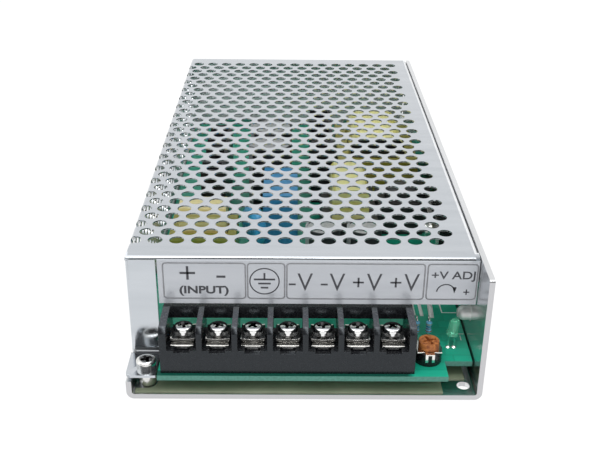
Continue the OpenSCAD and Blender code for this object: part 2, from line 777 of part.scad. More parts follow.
module side_nuts() {
  straight_l = side_nut_l - side_nut_d / 2;
  color("lightgray") for (s = [-1, 1]) translate([wall_in_x, s * side_nut_y, side_nut_z])
    rotate([0, 90, 0]) difference() {
      union() {
        cylinder(d = side_nut_spigot_d, h = base_t);
        translate([0, 0, -straight_l]) cylinder(d = side_nut_d, h = straight_l + base_t / 2);
        translate([0, 0, -straight_l]) sphere(d = side_nut_d);
      }
      translate([0, 0, -side_nut_l - cut])
        cylinder(d = side_nut_bore, h = side_nut_l + base_t + 2 * cut);
    }
}

// Side view of one barrier, with its bevelled front corner
module barrier_2d() {
  bevel = barrier_bevel;
  translate([block_front, board_top])
    polygon([
      [0, 0],
      [0, barrier_h - bevel],
      [bevel, barrier_h],
      [barrier_l, barrier_h],
      [barrier_l, 0]
    ]);
}

module terminal_block() {
  rail_y = block_front + barrier_l - rail_t;
  color("#26272a") difference() {
    union() {
      translate([block_left, block_front, board_top])
        cube([block_right - block_left, floor_l, floor_h]);
      translate([block_left, rail_y, block_top - rail_h])
        cube([block_right - block_left, rail_t, rail_h]);
      along_x(block_left, block_left + end_barrier_t) barrier_2d();
      along_x(block_right - end_barrier_t, block_right) barrier_2d();
      for (i = [1:pole_count - 1]) {
        wall_x = pole_x(i) + pole_pitch / 2;
        along_x(wall_x - barrier_t / 2, wall_x + barrier_t / 2) barrier_2d();
      }
    }
    for (i = [1:pole_count]) {
      translate([pole_x(i), screw_y, screw_z - screw_l - screw_tip_room])
        cylinder(d = screw_hole_d, h = screw_l);
      translate([pole_x(i) - recess_w / 2, block_front - cut, floor_z - recess_h])
        cube([recess_w, plate_inset + plate_t + hole_gap + cut, recess_h + cut / 10]);
    }
  }
}

// Contact plate: a flat strip on the floor, a short tab in front and a solder pin behind
module contact_plate(i) {
  pin_y = plate_back - plate_t;
  pin_z = board_z - pin_reach;
  color("silver") translate([pole_x(i), 0, 0]) difference() {
    union() {
      translate([-plate_w / 2, plate_front, floor_z]) cube([plate_w, plate_back - plate_front, plate_t]);
      translate([-plate_tab_w / 2, plate_front, floor_z - plate_tab_h])
        cube([plate_tab_w, plate_t, plate_tab_h + cut / 10]);
      translate([-pin_w / 2, pin_y, pin_z]) cube([pin_w, plate_t, floor_z - pin_z + cut / 10]);
    }
    translate([0, screw_y, floor_z - cut]) cylinder(d = screw_d + 2 * screw_gap, h = plate_t + 2 * cut);
  }
}

// Clamp washer: a square of strip bent to a shallow saddle, its wings up at both sides
module clamp_washer(i) {
  color("lightgray") translate([pole_x(i), screw_y, washer_z]) difference() {
    intersection() {
      translate([0, 0, saddle_r + washer_t]) rotate([90, 0, 0]) difference() {
        cylinder(r = saddle_r + washer_t, h = washer_l, center = true);
        cylinder(r = saddle_r, h = washer_l + 2 * cut, center = true);
      }
      translate([-washer_w / 2, -washer_l / 2, -cut]) cube([washer_w, washer_l, saddle_r]);
    }
    translate([0, 0, -cut]) cylinder(d = screw_d + 2 * hole_gap, h = saddle_r);
  }
}

module terminal_screw(i) {
  color("silver") translate([pole_x(i), screw_y, screw_z])
    pan_screw(screw_d, screw_l, screw_head_d, screw_head_h);
}

module trimmer_base() {
  color("#1c1c1e") translate([trimmer_x, trimmer_y, board_top]) difference() {
    cylinder(d = trimmer_d, h = trimmer_h);
    translate([0, 0, stem_floor]) cylinder(d = stem_d + 2 * screw_gap, h = trimmer_h);
  }
}

// Sprung clip: a flat plate on the base with a forked tab folded down over the base's front
module trimmer_clip() {
  clip_margin = 0.4;
  clip_w = trimmer_d - 2 * clip_margin;
  fork_w = 2.6;
  fork_h = 2.2;
  fork_leg = 0.8;
  clip_front = trimmer_d / 2 + seat_gap;
  color("silver") translate([trimmer_x, trimmer_y, clip_z]) {
    difference() {
      union() {
        translate([-clip_w / 2, -rotor_d / 2, 0]) cube([clip_w, rotor_d, clip_t]);
        translate([-fork_w / 2, -clip_front - clip_t, 0])
          cube([fork_w, clip_front + clip_t - rotor_d / 2 + cut, clip_t]);
      }
      translate([0, 0, -cut]) cylinder(d = stem_d + 2 * hole_gap, h = clip_t + 2 * cut);
    }
    for (s = [-1, 1]) translate([s * (fork_w - fork_leg) / 2 - fork_leg / 2, -clip_front - clip_t, -fork_h])
      cube([fork_leg, clip_t, fork_h + clip_t / 2]);
  }
}

module trimmer_rotor() {
  color("chocolate") translate([trimmer_x, trimmer_y, rotor_z]) difference() {
    union() {
      cylinder(d = rotor_d, h = rotor_h);
      translate([0, 0, -stem_l]) cylinder(d = stem_d, h = stem_l + cut / 10);
    }
    for (a = [0, 90]) rotate(slot_turn + a) translate([-slot_l / 2, -slot_w / 2, rotor_h - slot_depth])
      cube([slot_l, slot_w, slot_depth + cut]);
  }
}

module indicator_lamp() {
  color("limegreen") translate([lamp_x, lamp_y, board_top]) {
    translate([0, 0, lamp_stand]) rotate([0, lamp_lean, 0]) {
      cylinder(d = lamp_d + 2 * lamp_flange, h = lamp_flange_h);
      cylinder(d = lamp_d, h = lamp_h);
      translate([0, 0, lamp_h]) sphere(d = lamp_d);
    }
    for (s = [-1, 1]) translate([s * lamp_lead_pitch / 2, 0, 0])
      cylinder(d = lead_d, h = lamp_stand + lamp_flange_h / 2);
  }
}

// Small upright resistor: swollen ends, one lead straight down and one looped over the top
module resistor(i) {
  bead_l = resistor_l / 4;
  top_z = resistor_stand + resistor_l;
  color("steelblue") translate([resistor_x + (i - 1) * resistor_pitch, resistor_y, board_top]) {
    translate([0, 0, resistor_stand]) {
      cylinder(d = resistor_waist_d, h = resistor_l);
      cylinder(d = resistor_d, h = bead_l);
      translate([0, 0, resistor_l - bead_l]) cylinder(d = resistor_d, h = bead_l);
    }
    cylinder(d = lead_d, h = resistor_stand + cut / 10);
    translate([0, 0, top_z - cut / 10]) cylinder(d = lead_d, h = 2 * cut / 10);
    translate([0, resistor_turn_r, top_z + cut / 10]) rotate([90, 0, 90])
      rotate_extrude(angle = 180) translate([resistor_turn_r, 0]) circle(d = lead_d);
    translate([0, 2 * resistor_turn_r, 0]) cylinder(d = lead_d, h = top_z + cut / 10);
  }
}

// Ferrite core of two E halves laid flat: yokes in front and behind, outer legs and a middle limb
module ferrite_core(w, l, h, limb) {
  translate([-w / 2, -l / 2, 0]) cube([w, limb, h]);
  translate([-w / 2, l / 2 - limb, 0]) cube([w, limb, h]);
  for (s = [-1, 1]) translate([s * (w - limb) / 2 - limb / 2, -l / 2, 0]) cube([limb, l, h]);
  translate([-limb, -l / 2, h / 3]) cube([2 * limb, l, h / 3]);
}

// Taped coil round the middle limb of such a core
module taped_coil(w, l, h, core_h, limb) {
  coil_w = w - 2 * limb - 2 * coil_gap;
  coil_l = l - 2 * limb - 2 * coil_gap;
  round_r = coil_w / 4;
  along_y(-coil_l / 2, coil_l / 2) difference() {
    translate([0, h / 2]) rounded_2d(coil_w, h, round_r);
    translate([-limb - coil_gap, core_h / 3 - coil_gap])
      square([2 * limb + 2 * coil_gap, core_h / 3 + 2 * coil_gap]);
  }
}

// The transformer's core stands on the bobbin's feet, so that its coil has room below
module transformer_core() {
  color("#3a3a3c") translate([transformer_x, transformer_y, board_top + bobbin_foot])
    ferrite_core(core_w, core_l, core_h, core_limb);
}

module transformer_bobbin() {
  color("#202022") for (s = [-1, 1])
    translate([transformer_x, transformer_y + s * (core_l - core_limb) / 2, board_top + bobbin_foot / 2])
      cube([core_w, core_limb, bobbin_foot], center = true);
}

module transformer_coil() {
  color("gold") translate([transformer_x, transformer_y, board_top + bobbin_foot - coil_drop])
    taped_coil(core_w, core_l, coil_h, core_h + 3 * coil_drop, core_limb);
}

module choke_core() {
  color("#3a3a3c") translate([choke_x, choke_y, board_top])
    ferrite_core(choke_w, choke_l, small_core_h, small_limb);
}

module choke_coil() {
  color("gold") translate([choke_x, choke_y, board_top])
    taped_coil(choke_w, choke_l, choke_h, small_core_h, small_limb);
}

module drive_core() {
  color("#3a3a3c") translate([drive_x, drive_y, board_top]) rotate(90)
    ferrite_core(drive_l, drive_w, small_core_h, small_limb);
}

module drive_coil() {
  color("goldenrod") translate([drive_x, drive_y, board_top]) rotate(90)
    taped_coil(drive_l, drive_w, drive_h, small_core_h, small_limb);
}

module filter_core() {
  color("#3a3a3c") translate([filter_x, filter_y, board_top]) rotate(90)
    ferrite_core(filter_l, filter_w, small_core_h, small_limb);
}

module filter_coil() {
  color("khaki") translate([filter_x, filter_y, board_top]) rotate(90)
    taped_coil(filter_l, filter_w, filter_h, small_core_h, small_limb);
}

// Electrolytic capacitor: a sleeved can with a rolled groove and a rim round its top disc
module can_capacitor(d, h) {
  groove_z = 2.5;
  groove_r = 0.7;
  rim = 0.6;
  difference() {
    cylinder(d = d, h = h);
    translate([0, 0, groove_z]) rotate_extrude() translate([d / 2 + groove_r / 3, 0]) circle(groove_r);
    translate([0, 0, h - rim / 2]) cylinder(d = d - 2 * rim, h = rim);
  }
}

module input_capacitor(i) {
  color("#1f2328") translate([input_cap_x, input_cap_y + (i - 1) * input_cap_pitch, board_top])
    can_capacitor(input_cap_d, input_cap_h);
}

module output_capacitor(i) {
  color("#23262c") translate([output_cap_x + (i - 1) * output_cap_pitch, output_cap_y, board_top])
    can_capacitor(output_cap_d, output_cap_h);
}

module film_capacitor() {
  color("royalblue") translate([film_cap_x, film_cap_y, board_top]) linear_extrude(film_cap_h)
    rounded_2d(film_cap_w, film_cap_l, film_cap_r);
}

// Dipped disc standing on two leads
module surge_absorber() {
  stand = 5;
  edge_r = absorber_t / 2;
  lead_y = absorber_d / 4;
  color("deepskyblue") translate([absorber_x, absorber_y, board_top]) rotate(absorber_turn) {
    translate([0, 0, stand + absorber_d / 2]) rotate([0, 90, 0]) {
      translate([0, 0, -absorber_t / 2]) cylinder(d = absorber_d - absorber_t, h = absorber_t);
      rotate_extrude() translate([absorber_d / 2 - edge_r, 0]) circle(edge_r);
    }
    for (s = [-1, 1]) translate([0, s * lead_y, 0]) cylinder(d = lead_d, h = stand + absorber_d / 4);
  }
}

// Extruded heat sink: an upright plate with a row of fins to the left
module heat_sink() {
  linear_extrude(sink_h) {
    square([sink_t, sink_l]);
    for (i = [0:sink_fins - 1])
      translate([-sink_fin, i * (sink_l - sink_t) / (sink_fins - 1)])
        square([sink_fin + sink_t / 2, sink_t]);
  }
}

module input_heat_sink() {
  color("#2a2a2c") translate([input_sink_x, input_sink_y, board_top]) heat_sink();
}

module output_heat_sink() {
  color("#2a2a2c") translate([output_sink_x, output_sink_y, board_top]) heat_sink();
}

// Flat power device on the thermal pad, with three legs down to the board
module power_device(i) {
  leg_pitch = device_w / 4;
  leg_x = clamp_face_x + device_t / 2;
  color("#222224") translate([0, device_y + (i - 1) * device_pitch, 0]) {
    translate([clamp_face_x, -device_w / 2, device_z]) cube([device_t, device_w, device_h]);
    for (k = [-1:1]) translate([leg_x, k * leg_pitch - lead_d / 2, board_top])
      cube([lead_d, lead_d, device_z - board_top + cut / 10]);
  }
}

module thermal_pad() {
  pad_margin = 3;
  pad_l = clamp_l + 2 * pad_margin;
  color("pink") translate([wall_in_x - pad_t, device_mid_y - pad_l / 2, device_z]) difference() {
    cube([pad_t, pad_l, device_h + pad_margin / 3]);
    translate([-cut, pad_l / 2, device_h / 2]) rotate([0, 90, 0])
      cylinder(d = bolt_d + 4 * hole_gap, h = pad_t + 2 * cut);
  }
}

module wall_clamp() {
  color("gainsboro") translate([clamp_face_x - clamp_t, device_mid_y - clamp_l / 2, device_z + device_h / 2])
    difference() {
      translate([0, 0, -clamp_h / 2]) cube([clamp_t, clamp_l, clamp_h]);
      translate([-cut, clamp_l / 2, 0]) rotate([0, 90, 0])
        cylinder(d = bolt_d + 2 * hole_gap, h = clamp_t + 2 * cut);
    }
}

module clamp_screw() {
  color("silver") translate([clamp_face_x - clamp_t, device_mid_y, device_z + device_h / 2])
    rotate([0, -90, 0]) pan_screw(bolt_d, clamp_t + device_t + pad_t + base_t / 2, bolt_head_d, bolt_head_h);
}

chassis();
cover();
insulating_sheet();
circuit_board();
board_standoffs();
board_screws();
foot_screw();
cover_screws();
side_nuts();
terminal_block();
for (i = [1:pole_count]) {
  contact_plate(i);
  clamp_washer(i);
  terminal_screw(i);
}
trimmer_base();
trimmer_clip();
trimmer_rotor();
indicator_lamp();
for (i = [1:2]) {
  resistor(i);
  input_capacitor(i);
  output_capacitor(i);
  power_device(i);
}
transformer_core();
transformer_bobbin();
transformer_coil();
choke_core();
choke_coil();
drive_core();
drive_coil();
filter_core();
filter_coil();
film_capacitor();
surge_absorber();
input_heat_sink();
output_heat_sink();
thermal_pad();
wall_clamp();
clamp_screw();
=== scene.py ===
import math

import bmesh
import bpy
from mathutils import Euler, Matrix, Vector


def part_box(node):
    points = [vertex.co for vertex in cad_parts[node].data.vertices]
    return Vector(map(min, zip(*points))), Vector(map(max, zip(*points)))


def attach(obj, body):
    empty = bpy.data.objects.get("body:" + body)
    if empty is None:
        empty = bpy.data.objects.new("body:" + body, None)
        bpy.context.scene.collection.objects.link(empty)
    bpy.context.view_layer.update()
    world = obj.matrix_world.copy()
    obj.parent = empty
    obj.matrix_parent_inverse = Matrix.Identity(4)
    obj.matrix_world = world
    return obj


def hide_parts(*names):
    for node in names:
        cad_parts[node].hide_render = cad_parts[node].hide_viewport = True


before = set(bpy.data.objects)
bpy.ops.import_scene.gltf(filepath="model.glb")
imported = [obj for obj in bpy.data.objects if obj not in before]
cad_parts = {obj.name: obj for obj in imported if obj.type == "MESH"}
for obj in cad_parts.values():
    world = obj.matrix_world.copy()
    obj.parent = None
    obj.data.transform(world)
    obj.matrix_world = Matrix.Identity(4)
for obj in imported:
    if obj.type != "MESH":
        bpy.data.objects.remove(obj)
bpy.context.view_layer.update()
scene = bpy.context.scene
mm = 0.001


# Chassis: 1.5 mm rolled aluminium, punched and folded into the base, the full right wall, the low left
# wall and two rear tabs. The mill finish is left bare, so a faint grain runs along the length and the
# inner face of the wall mirrors the board softly; faces turned to the front are given a darker grey.
def wire(tree, kind, options=None, **inputs):
    """Adds one node; an input is a constant or another node's output, named, or by place as i0, i1..."""
    node = tree.nodes.new(kind)
    for label, value in (options or {}).items():
        setattr(node, label, value)
    for label, value in inputs.items():
        by_place = label[0] == "i" and label[1:].isdigit()
        socket = node.inputs[int(label[1:])] if by_place else node.inputs[label.replace("_", " ")]
        if isinstance(value, bpy.types.NodeSocket):
            tree.links.new(value, socket)
        else:
            socket.default_value = value
    return node


def calc(tree, a, b, operation="MULTIPLY"):
    """One sum inside a tree."""
    return wire(tree, "ShaderNodeMath", {"operation": operation}, i0=a, i1=b).outputs[0]


def axes(tree, vector):
    """The X, Y and Z of a vector."""
    return wire(tree, "ShaderNodeSeparateXYZ", Vector=vector).outputs


def span(tree, value, low, high, start=0.0, end=1.0):
    """Goes from start to end while value goes from low to high."""
    return wire(tree, "ShaderNodeMapRange", Value=value, From_Min=low, From_Max=high, To_Min=start,
                To_Max=end).outputs[0]


def mix(tree, factor, under, top):
    """One colour, and another over it where factor is one; each is a constant or a node's output."""
    under, top = (colour if isinstance(colour, bpy.types.NodeSocket) else (*colour, 1)
                  for colour in (under, top))
    return wire(tree, "ShaderNodeMix", {"data_type": "RGBA"}, i0=factor, i6=under, i7=top).outputs[2]


def finish(name, **sockets):
    """A material whose unchanging values sit straight on the shader; gives it with its shader and place."""
    material = bpy.data.materials.new(name)
    material.use_nodes = True
    tree = material.node_tree
    shader = tree.nodes["Principled BSDF"]
    for label, value in sockets.items():
        shader.inputs[label.replace("_", " ")].default_value = value
    return material, tree, shader, wire(tree, "ShaderNodeTexCoord").outputs["Object"]


def ramp(tree, factor, *stops, stepped=False):
    """A colour that follows factor through stops of (position, colour), smoothly or in steps."""
    node = wire(tree, "ShaderNodeValToRGB", Fac=factor)
    elements = node.color_ramp.elements
    while len(elements) < len(stops):
        elements.new(1.0)
    for element, (position, colour) in zip(elements, stops):
        element.position = position
        element.color = (*colour, 1.0)
    if stepped:
        node.color_ramp.interpolation = "CONSTANT"
    return node.outputs["Color"]


def noise_at(tree, place, scale, stretch=(1, 1, 1)):
    """Noise over the piece, drawn out along the directions where stretch is small."""
    drawn = wire(tree, "ShaderNodeMapping", Vector=place, Scale=stretch).outputs[0]
    return wire(tree, "ShaderNodeTexNoise", Vector=drawn, Scale=scale, Detail=3.0).outputs["Fac"]


def grain(tree, shader, noise, dark, light, rough, bump=0.0):
    """Lets colour, gloss and, where bump is given, relief follow one noise."""
    tree.links.new(ramp(tree, noise, (0.35, dark), (0.65, light)), shader.inputs["Base Color"])
    tree.links.new(span(tree, noise, 0.3, 0.7, *rough), shader.inputs["Roughness"])
    if bump:
        relief = wire(tree, "ShaderNodeBump", Distance=bump, Height=noise)
        tree.links.new(relief.outputs[0], shader.inputs["Normal"])


def grained(name, dark, light, rough, scale, stretch=(1, 1, 1), bump=0.0, **sockets):
    """A whole finish with one grain."""
    material, tree, shader, place = finish(name, **sockets)
    grain(tree, shader, noise_at(tree, place, scale, stretch), dark, light, rough, bump)
    return material


def over(tree, shader, factor, colour):
    """Lays another colour over a finish where factor is one."""
    socket = shader.inputs["Base Color"]
    tree.links.new(mix(tree, factor, socket.links[0].from_socket, colour), socket)


def paint(material, *nodes):
    """Gives CAD pieces their finish."""
    for node in nodes:
        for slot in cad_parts[node].material_slots:
            slot.material = material


def placed(name, data):
    """A new object in the scene."""
    made = bpy.data.objects.new(name, data)
    scene.collection.objects.link(made)
    return made


def piece(name, mesh, material, body, slot, *stands_for):
    """Puts a finished mesh on its body, in place of the CAD pieces that it stands for."""
    mesh.materials.clear()
    mesh.materials.append(material)
    made = placed(name, mesh)
    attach(made, body)
    if stands_for:
        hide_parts(*stands_for)


def settled(holder):
    """The plain mesh that an object comes to; the object itself goes."""
    mesh = bpy.data.meshes.new_from_object(holder.evaluated_get(bpy.context.evaluated_depsgraph_get()))
    bpy.data.objects.remove(holder)
    return mesh


def after(mesh, kind, **options):
    """A mesh as one modifier leaves it."""
    holder = placed("holder", mesh)
    modifier = holder.modifiers.new("step", kind)
    for label, value in options.items():
        setattr(modifier, label, value)
    return settled(holder)


def welded(node):
    """The shape of a CAD piece, with points that coincide merged."""
    shape = bmesh.new()
    shape.from_mesh(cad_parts[node].data)
    bmesh.ops.remove_doubles(shape, verts=shape.verts, dist=0.001 * mm)
    return shape


def kept(shape, name):
    """A worked shape as a mesh."""
    mesh = bpy.data.meshes.new(name)
    shape.to_mesh(mesh)
    shape.free()
    return mesh


def shaded(mesh, degrees):
    """A mesh shaded smooth everywhere but across edges sharper than this."""
    mesh.shade_smooth()
    mesh.set_sharp_from_angle(angle=math.radians(degrees))
    return mesh


def eased(node, width, material, slot, body="case"):
    """A copy of a CAD piece with its edges broken, as deburring or a mould's corners leave them."""
    name, flat_degrees, sharp_degrees = node + "_eased", 1, 35
    shape = welded(node)
    bmesh.ops.dissolve_limit(shape, angle_limit=math.radians(flat_degrees), verts=shape.verts,
                             edges=shape.edges)
    done = after(shaded(kept(shape, name), sharp_degrees), "BEVEL", width=width, segments=2,
                 limit_method="ANGLE", angle_limit=math.radians(sharp_degrees), harden_normals=True)
    piece(name, done, material, body, slot, node)


rolled_sheet, tree, shader, place = finish("rolled_sheet", Metallic=1.0)
rolling = noise_at(tree, place, 300.0, (1, 0.04, 1))
grain(tree, shader, rolling, (0.68, 0.69, 0.70), (0.76, 0.77, 0.78), (0.19, 0.27), 0.0004 * mm)
facing = axes(tree, wire(tree, "ShaderNodeNewGeometry").outputs["True Normal"])
facing_front = -0.9
# faces turned to the front, such as the front edges, are given a darker grey
turned_front = calc(tree, facing["Y"], facing_front, "LESS_THAN")
over(tree, shader, turned_front, (0.56, 0.56, 0.575))
paint(rolled_sheet, "chassis")


# Insulating sheet: a translucent pale film laid on the base under the board, a little behind the front edge
# and cut short at the right so that the mounting hole stays open. It only lies there, held by the standoffs.
# painted shade: the pale film's colour is darkened all over, as the shadow of the board above it
film = grained("insulating_film", (0.21, 0.245, 0.165), (0.27, 0.305, 0.21), (0.10, 0.16), 60.0,
               Specular_IOR_Level=0.6)
film_setback = 0.6 * mm
film_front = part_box("insulating_sheet")[0].y + film_setback
shape = welded("insulating_sheet")
film_edge = bmesh.ops.bisect_plane(shape, geom=[*shape.verts, *shape.edges, *shape.faces], clear_outer=True,
                                   plane_no=(0, -1, 0), plane_co=(0, film_front, 0))["geom_cut"]
bmesh.ops.holes_fill(shape, edges=[part for part in film_edge if isinstance(part, bmesh.types.BMEdge)])
piece("film_trimmed", kept(shape, "film_trimmed"), film, "case", "insulating_film", "insulating_sheet")


# Circuit board: glass epoxy, 1.6 mm, under green solder resist. Copper tracks show as a lighter weave in
# the resist; a strip along the front before the block is painted darker, as painted shade from the block.
# The sawn edge shows the paler laminate.
resist, tree, shader, place = finish("solder_resist", Roughness=0.28, Specular_IOR_Level=0.55)
track_grid = wire(tree, "ShaderNodeTexBrick", {"offset": 0.37, "offset_frequency": 2, "squash": 1.6},
                  Vector=place, Scale=90.0, Mortar_Size=0.02, Brick_Width=0.9, Row_Height=0.32,
                  Color1=(0.009, 0.37, 0.235, 1), Color2=(0.014, 0.43, 0.28, 1),
                  Mortar=(0.007, 0.345, 0.215, 1)).outputs
board_low, board_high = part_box("circuit_board")
board_top = board_high.z
block_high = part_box("terminal_block")[1]
# painted shade: the board's front strip before the block is darkened as the block's shadow
shade_strip_end = board_low.y + 2.6 * mm
shade_strip_blur, end_blur = 0.4 * mm, 2.0 * mm
spot = axes(tree, place)
past_shade_strip = span(tree, spot["Y"], shade_strip_end - shade_strip_blur, shade_strip_end)
past_block = span(tree, spot["X"], block_high.x - end_blur, block_high.x)
out_of_block_shade = calc(tree, past_shade_strip, past_block, "MAXIMUM")
resist_colour = mix(tree, out_of_block_shade, (0.006, 0.085, 0.06), track_grid["Color"])
laminate = noise_at(tree, place, 1500.0)
edge_colour = ramp(tree, laminate, (0.3, (0.04, 0.17, 0.13)), (0.7, (0.07, 0.25, 0.195)))
facing = axes(tree, wire(tree, "ShaderNodeNewGeometry").outputs["Normal"])
flat_face = wire(tree, "ShaderNodeMath", {"operation": "ABSOLUTE"}, i0=facing["Z"]).outputs[0]
tree.links.new(mix(tree, flat_face, edge_colour, resist_colour), shader.inputs["Base Color"])
track_relief = wire(tree, "ShaderNodeBump", Distance=0.03 * mm, Height=track_grid["Fac"])
tree.links.new(track_relief.outputs[0], shader.inputs["Normal"])
paint(resist, "circuit_board")


# Standoffs and side nuts: turned steel, plated, pressed into the sheet so that their collars grip. The nuts
# show their round ends inside the right wall.
plating = grained("bright_plating", (0.74, 0.74, 0.72), (0.86, 0.86, 0.84), (0.16, 0.28), 700.0, Metallic=1.0)
paint(plating, "board_standoffs")
satin_zinc = grained("satin_zinc", (0.80, 0.80, 0.79), (0.88, 0.88, 0.87), (0.38, 0.5), 700.0, Metallic=0.5)
paint(satin_zinc, "side_nuts")


# Pan-head screws: cold-headed steel with a pressed cross recess and a rolled thread, bright plated. Three
# hold the board on its standoffs; the same tree makes the foot, clamp and terminal screws.
def new_tree(name, **inputs):
    """An empty geometry tree with named inputs; gives it with its input sockets."""
    tree = bpy.data.node_groups.new(name, "GeometryNodeTree")
    for label, kind in inputs.items():
        tree.interface.new_socket(label.replace("_", " "), in_out="INPUT", socket_type="NodeSocket" + kind)
    tree.interface.new_socket("Geometry", in_out="OUTPUT", socket_type="NodeSocketGeometry")
    return tree, tree.nodes.new("NodeGroupInput").outputs


def close_tree(tree, geometry, material):
    """Ends a tree: instances are made real and the finish is set."""
    real = wire(tree, "GeometryNodeRealizeInstances", Geometry=geometry).outputs[0]
    set_finish = wire(tree, "GeometryNodeSetMaterial", Geometry=real, Material=material).outputs[0]
    wire(tree, "NodeGroupOutput", Geometry=set_finish)


def smooth_by_angle(tree, geometry, degrees):
    """Inside a tree, smooth shading everywhere but across edges sharper than this."""
    faces = wire(tree, "GeometryNodeSetShadeSmooth", Geometry=geometry, Shade_Smooth=True).outputs[0]
    bend = wire(tree, "GeometryNodeInputMeshEdgeAngle").outputs["Unsigned Angle"]
    soft = wire(tree, "FunctionNodeCompare", {"data_type": "FLOAT", "operation": "LESS_THAN"},
                A=bend, B=math.radians(degrees)).outputs[0]
    return wire(tree, "GeometryNodeSetShadeSmooth", {"domain": "EDGE"}, Geometry=faces,
                Shade_Smooth=soft).outputs[0]


def moved(tree, geometry, **change):
    """Geometry after a Translation, Rotation or Scale."""
    return wire(tree, "GeometryNodeTransform", Geometry=geometry, **change).outputs[0]


def lifted(tree, geometry, height):
    """Geometry raised along Z."""
    return moved(tree, geometry, Translation=wire(tree, "ShaderNodeCombineXYZ", Z=height).outputs[0])


def turned(name, profile, steps=40):
    """A closed body of revolution round Z from a profile of (radius, height) points, pole to pole."""
    shape = bmesh.new()
    points = [shape.verts.new((radius, 0, height)) for radius, height in profile]
    edges = [shape.edges.new(pair) for pair in zip(points, points[1:])]
    bmesh.ops.spin(shape, geom=points + edges, cent=(0, 0, 0), axis=(0, 0, 1), angle=math.tau, steps=steps)
    bmesh.ops.remove_doubles(shape, verts=shape.verts, dist=0.002 * mm)
    bmesh.ops.recalc_face_normals(shape, faces=shape.faces)
    return shaded(kept(shape, name), 40)


# shares of the head's and the thread's sizes
wing_reach, wing_root, wing_t, wing_rise = 0.5, 0.22, 0.3, 0.34
core_share, crest_share, pitch_share = 0.42, 0.08, 0.17
screw_tree, given = new_tree("pan_head_screw", Geometry_in="Geometry", Head_diameter="Float",
                             Head_height="Float", Thread_diameter="Float", Length="Float", Pitch="Float",
                             Turn="Rotation", Place="Vector", Material="Material")
wing = wire(screw_tree, "GeometryNodeMeshCone", Vertices=4, Depth=given["Head height"],
            Radius_Top=calc(screw_tree, given["Head diameter"], wing_reach),
            Radius_Bottom=calc(screw_tree, given["Head diameter"], wing_root)).outputs["Mesh"]
wing = moved(screw_tree, wing, Rotation=(0, 0, math.radians(45)))
wing = lifted(screw_tree, moved(screw_tree, wing, Scale=(1, wing_t, 1)),
              calc(screw_tree, given["Head height"], wing_rise))
wing = wire(screw_tree, "GeometryNodeStoreNamedAttribute", {"data_type": "FLOAT", "domain": "FACE"},
            Geometry=wing, Name="recess", Value=1.0).outputs[0]
head = wire(screw_tree, "GeometryNodeMeshBoolean", {"operation": "DIFFERENCE", "solver": "EXACT"},
            i0=given["Geometry in"])
for part in (wing, moved(screw_tree, wing, Rotation=(0, 0, math.radians(90)))):
    screw_tree.links.new(part, head.inputs["Mesh 2"])
core_r = calc(screw_tree, given["Thread diameter"], core_share)
core = wire(screw_tree, "GeometryNodeMeshCylinder", Vertices=32, Depth=given["Length"],
            Radius=core_r).outputs["Mesh"]
core = lifted(screw_tree, core, calc(screw_tree, given["Length"], -0.5))
ridge = wire(screw_tree, "GeometryNodeCurveSpiral", Resolution=24, Height=given["Length"],
             Rotations=calc(screw_tree, given["Length"], given["Pitch"], "DIVIDE"),
             Start_Radius=core_r, End_Radius=core_r).outputs[0]
crest = wire(screw_tree, "GeometryNodeCurvePrimitiveCircle", Resolution=4,
             Radius=calc(screw_tree, given["Thread diameter"], crest_share)).outputs[0]
thread = wire(screw_tree, "GeometryNodeCurveToMesh", Curve=ridge, Profile_Curve=crest,
              Fill_Caps=True).outputs[0]
thread = lifted(screw_tree, thread, calc(screw_tree, given["Length"], -1.0))
whole = wire(screw_tree, "GeometryNodeJoinGeometry")
for part in (thread, core, head.outputs["Mesh"]):
    screw_tree.links.new(part, whole.inputs[0])
turned_screw = moved(screw_tree, smooth_by_angle(screw_tree, whole.outputs[0], 40), Rotation=given["Turn"],
                     Translation=given["Place"])
close_tree(screw_tree, turned_screw, given["Material"])


def painted_recess_shade(material):
    """Paints shade inside the pressed cross, which the screw tree marks, by darkening the screw's finish
    there.
    """
    tree = material.node_tree
    marked = wire(tree, "ShaderNodeAttribute", {"attribute_name": "recess"}).outputs["Fac"]
    over(tree, tree.nodes["Principled BSDF"], marked, (0.09, 0.09, 0.092))


def grown(name, tree, start, **inputs):
    """Runs a geometry tree on a start mesh with these inputs and keeps the result as a plain mesh."""
    holder = placed(name, start)
    modifier = holder.modifiers.new("grow", "NODES")
    modifier.node_group = tree
    wanted = {label.replace("_", " "): value for label, value in inputs.items()}
    for item in tree.interface.items_tree:
        if item.name in wanted:
            modifier[item.identifier] = wanted[item.name]
    return settled(holder)


def pan_screw(name, sizes, length, place, turn, material):
    """One screw, its head bearing on place; the head is flat on top and rolls over to a straight rim."""
    head_d, head_h, thread_d = sizes
    head_r, crown_h, crown_steps = head_d / 2, head_h / 2, 14
    roll_over = [math.pi / 2 * (1 - k / crown_steps) for k in range(crown_steps + 1)]
    profile = [(0, 0), (head_r, 0)]
    profile += [(head_r * math.sqrt(math.sin(a)), head_h - crown_h * (1 - math.sqrt(math.cos(a))))
                for a in roll_over]
    return grown(name, screw_tree, turned(name + "_head", profile, 48), Head_diameter=head_d,
                 Head_height=head_h, Thread_diameter=thread_d, Length=length, Pitch=pitch_share * thread_d,
                 Turn=turn, Place=place, Material=material)


def joined(name, meshes):
    """Several meshes as one."""
    shape = bmesh.new()
    for mesh in meshes:
        shape.from_mesh(mesh)
    return kept(shape, name)


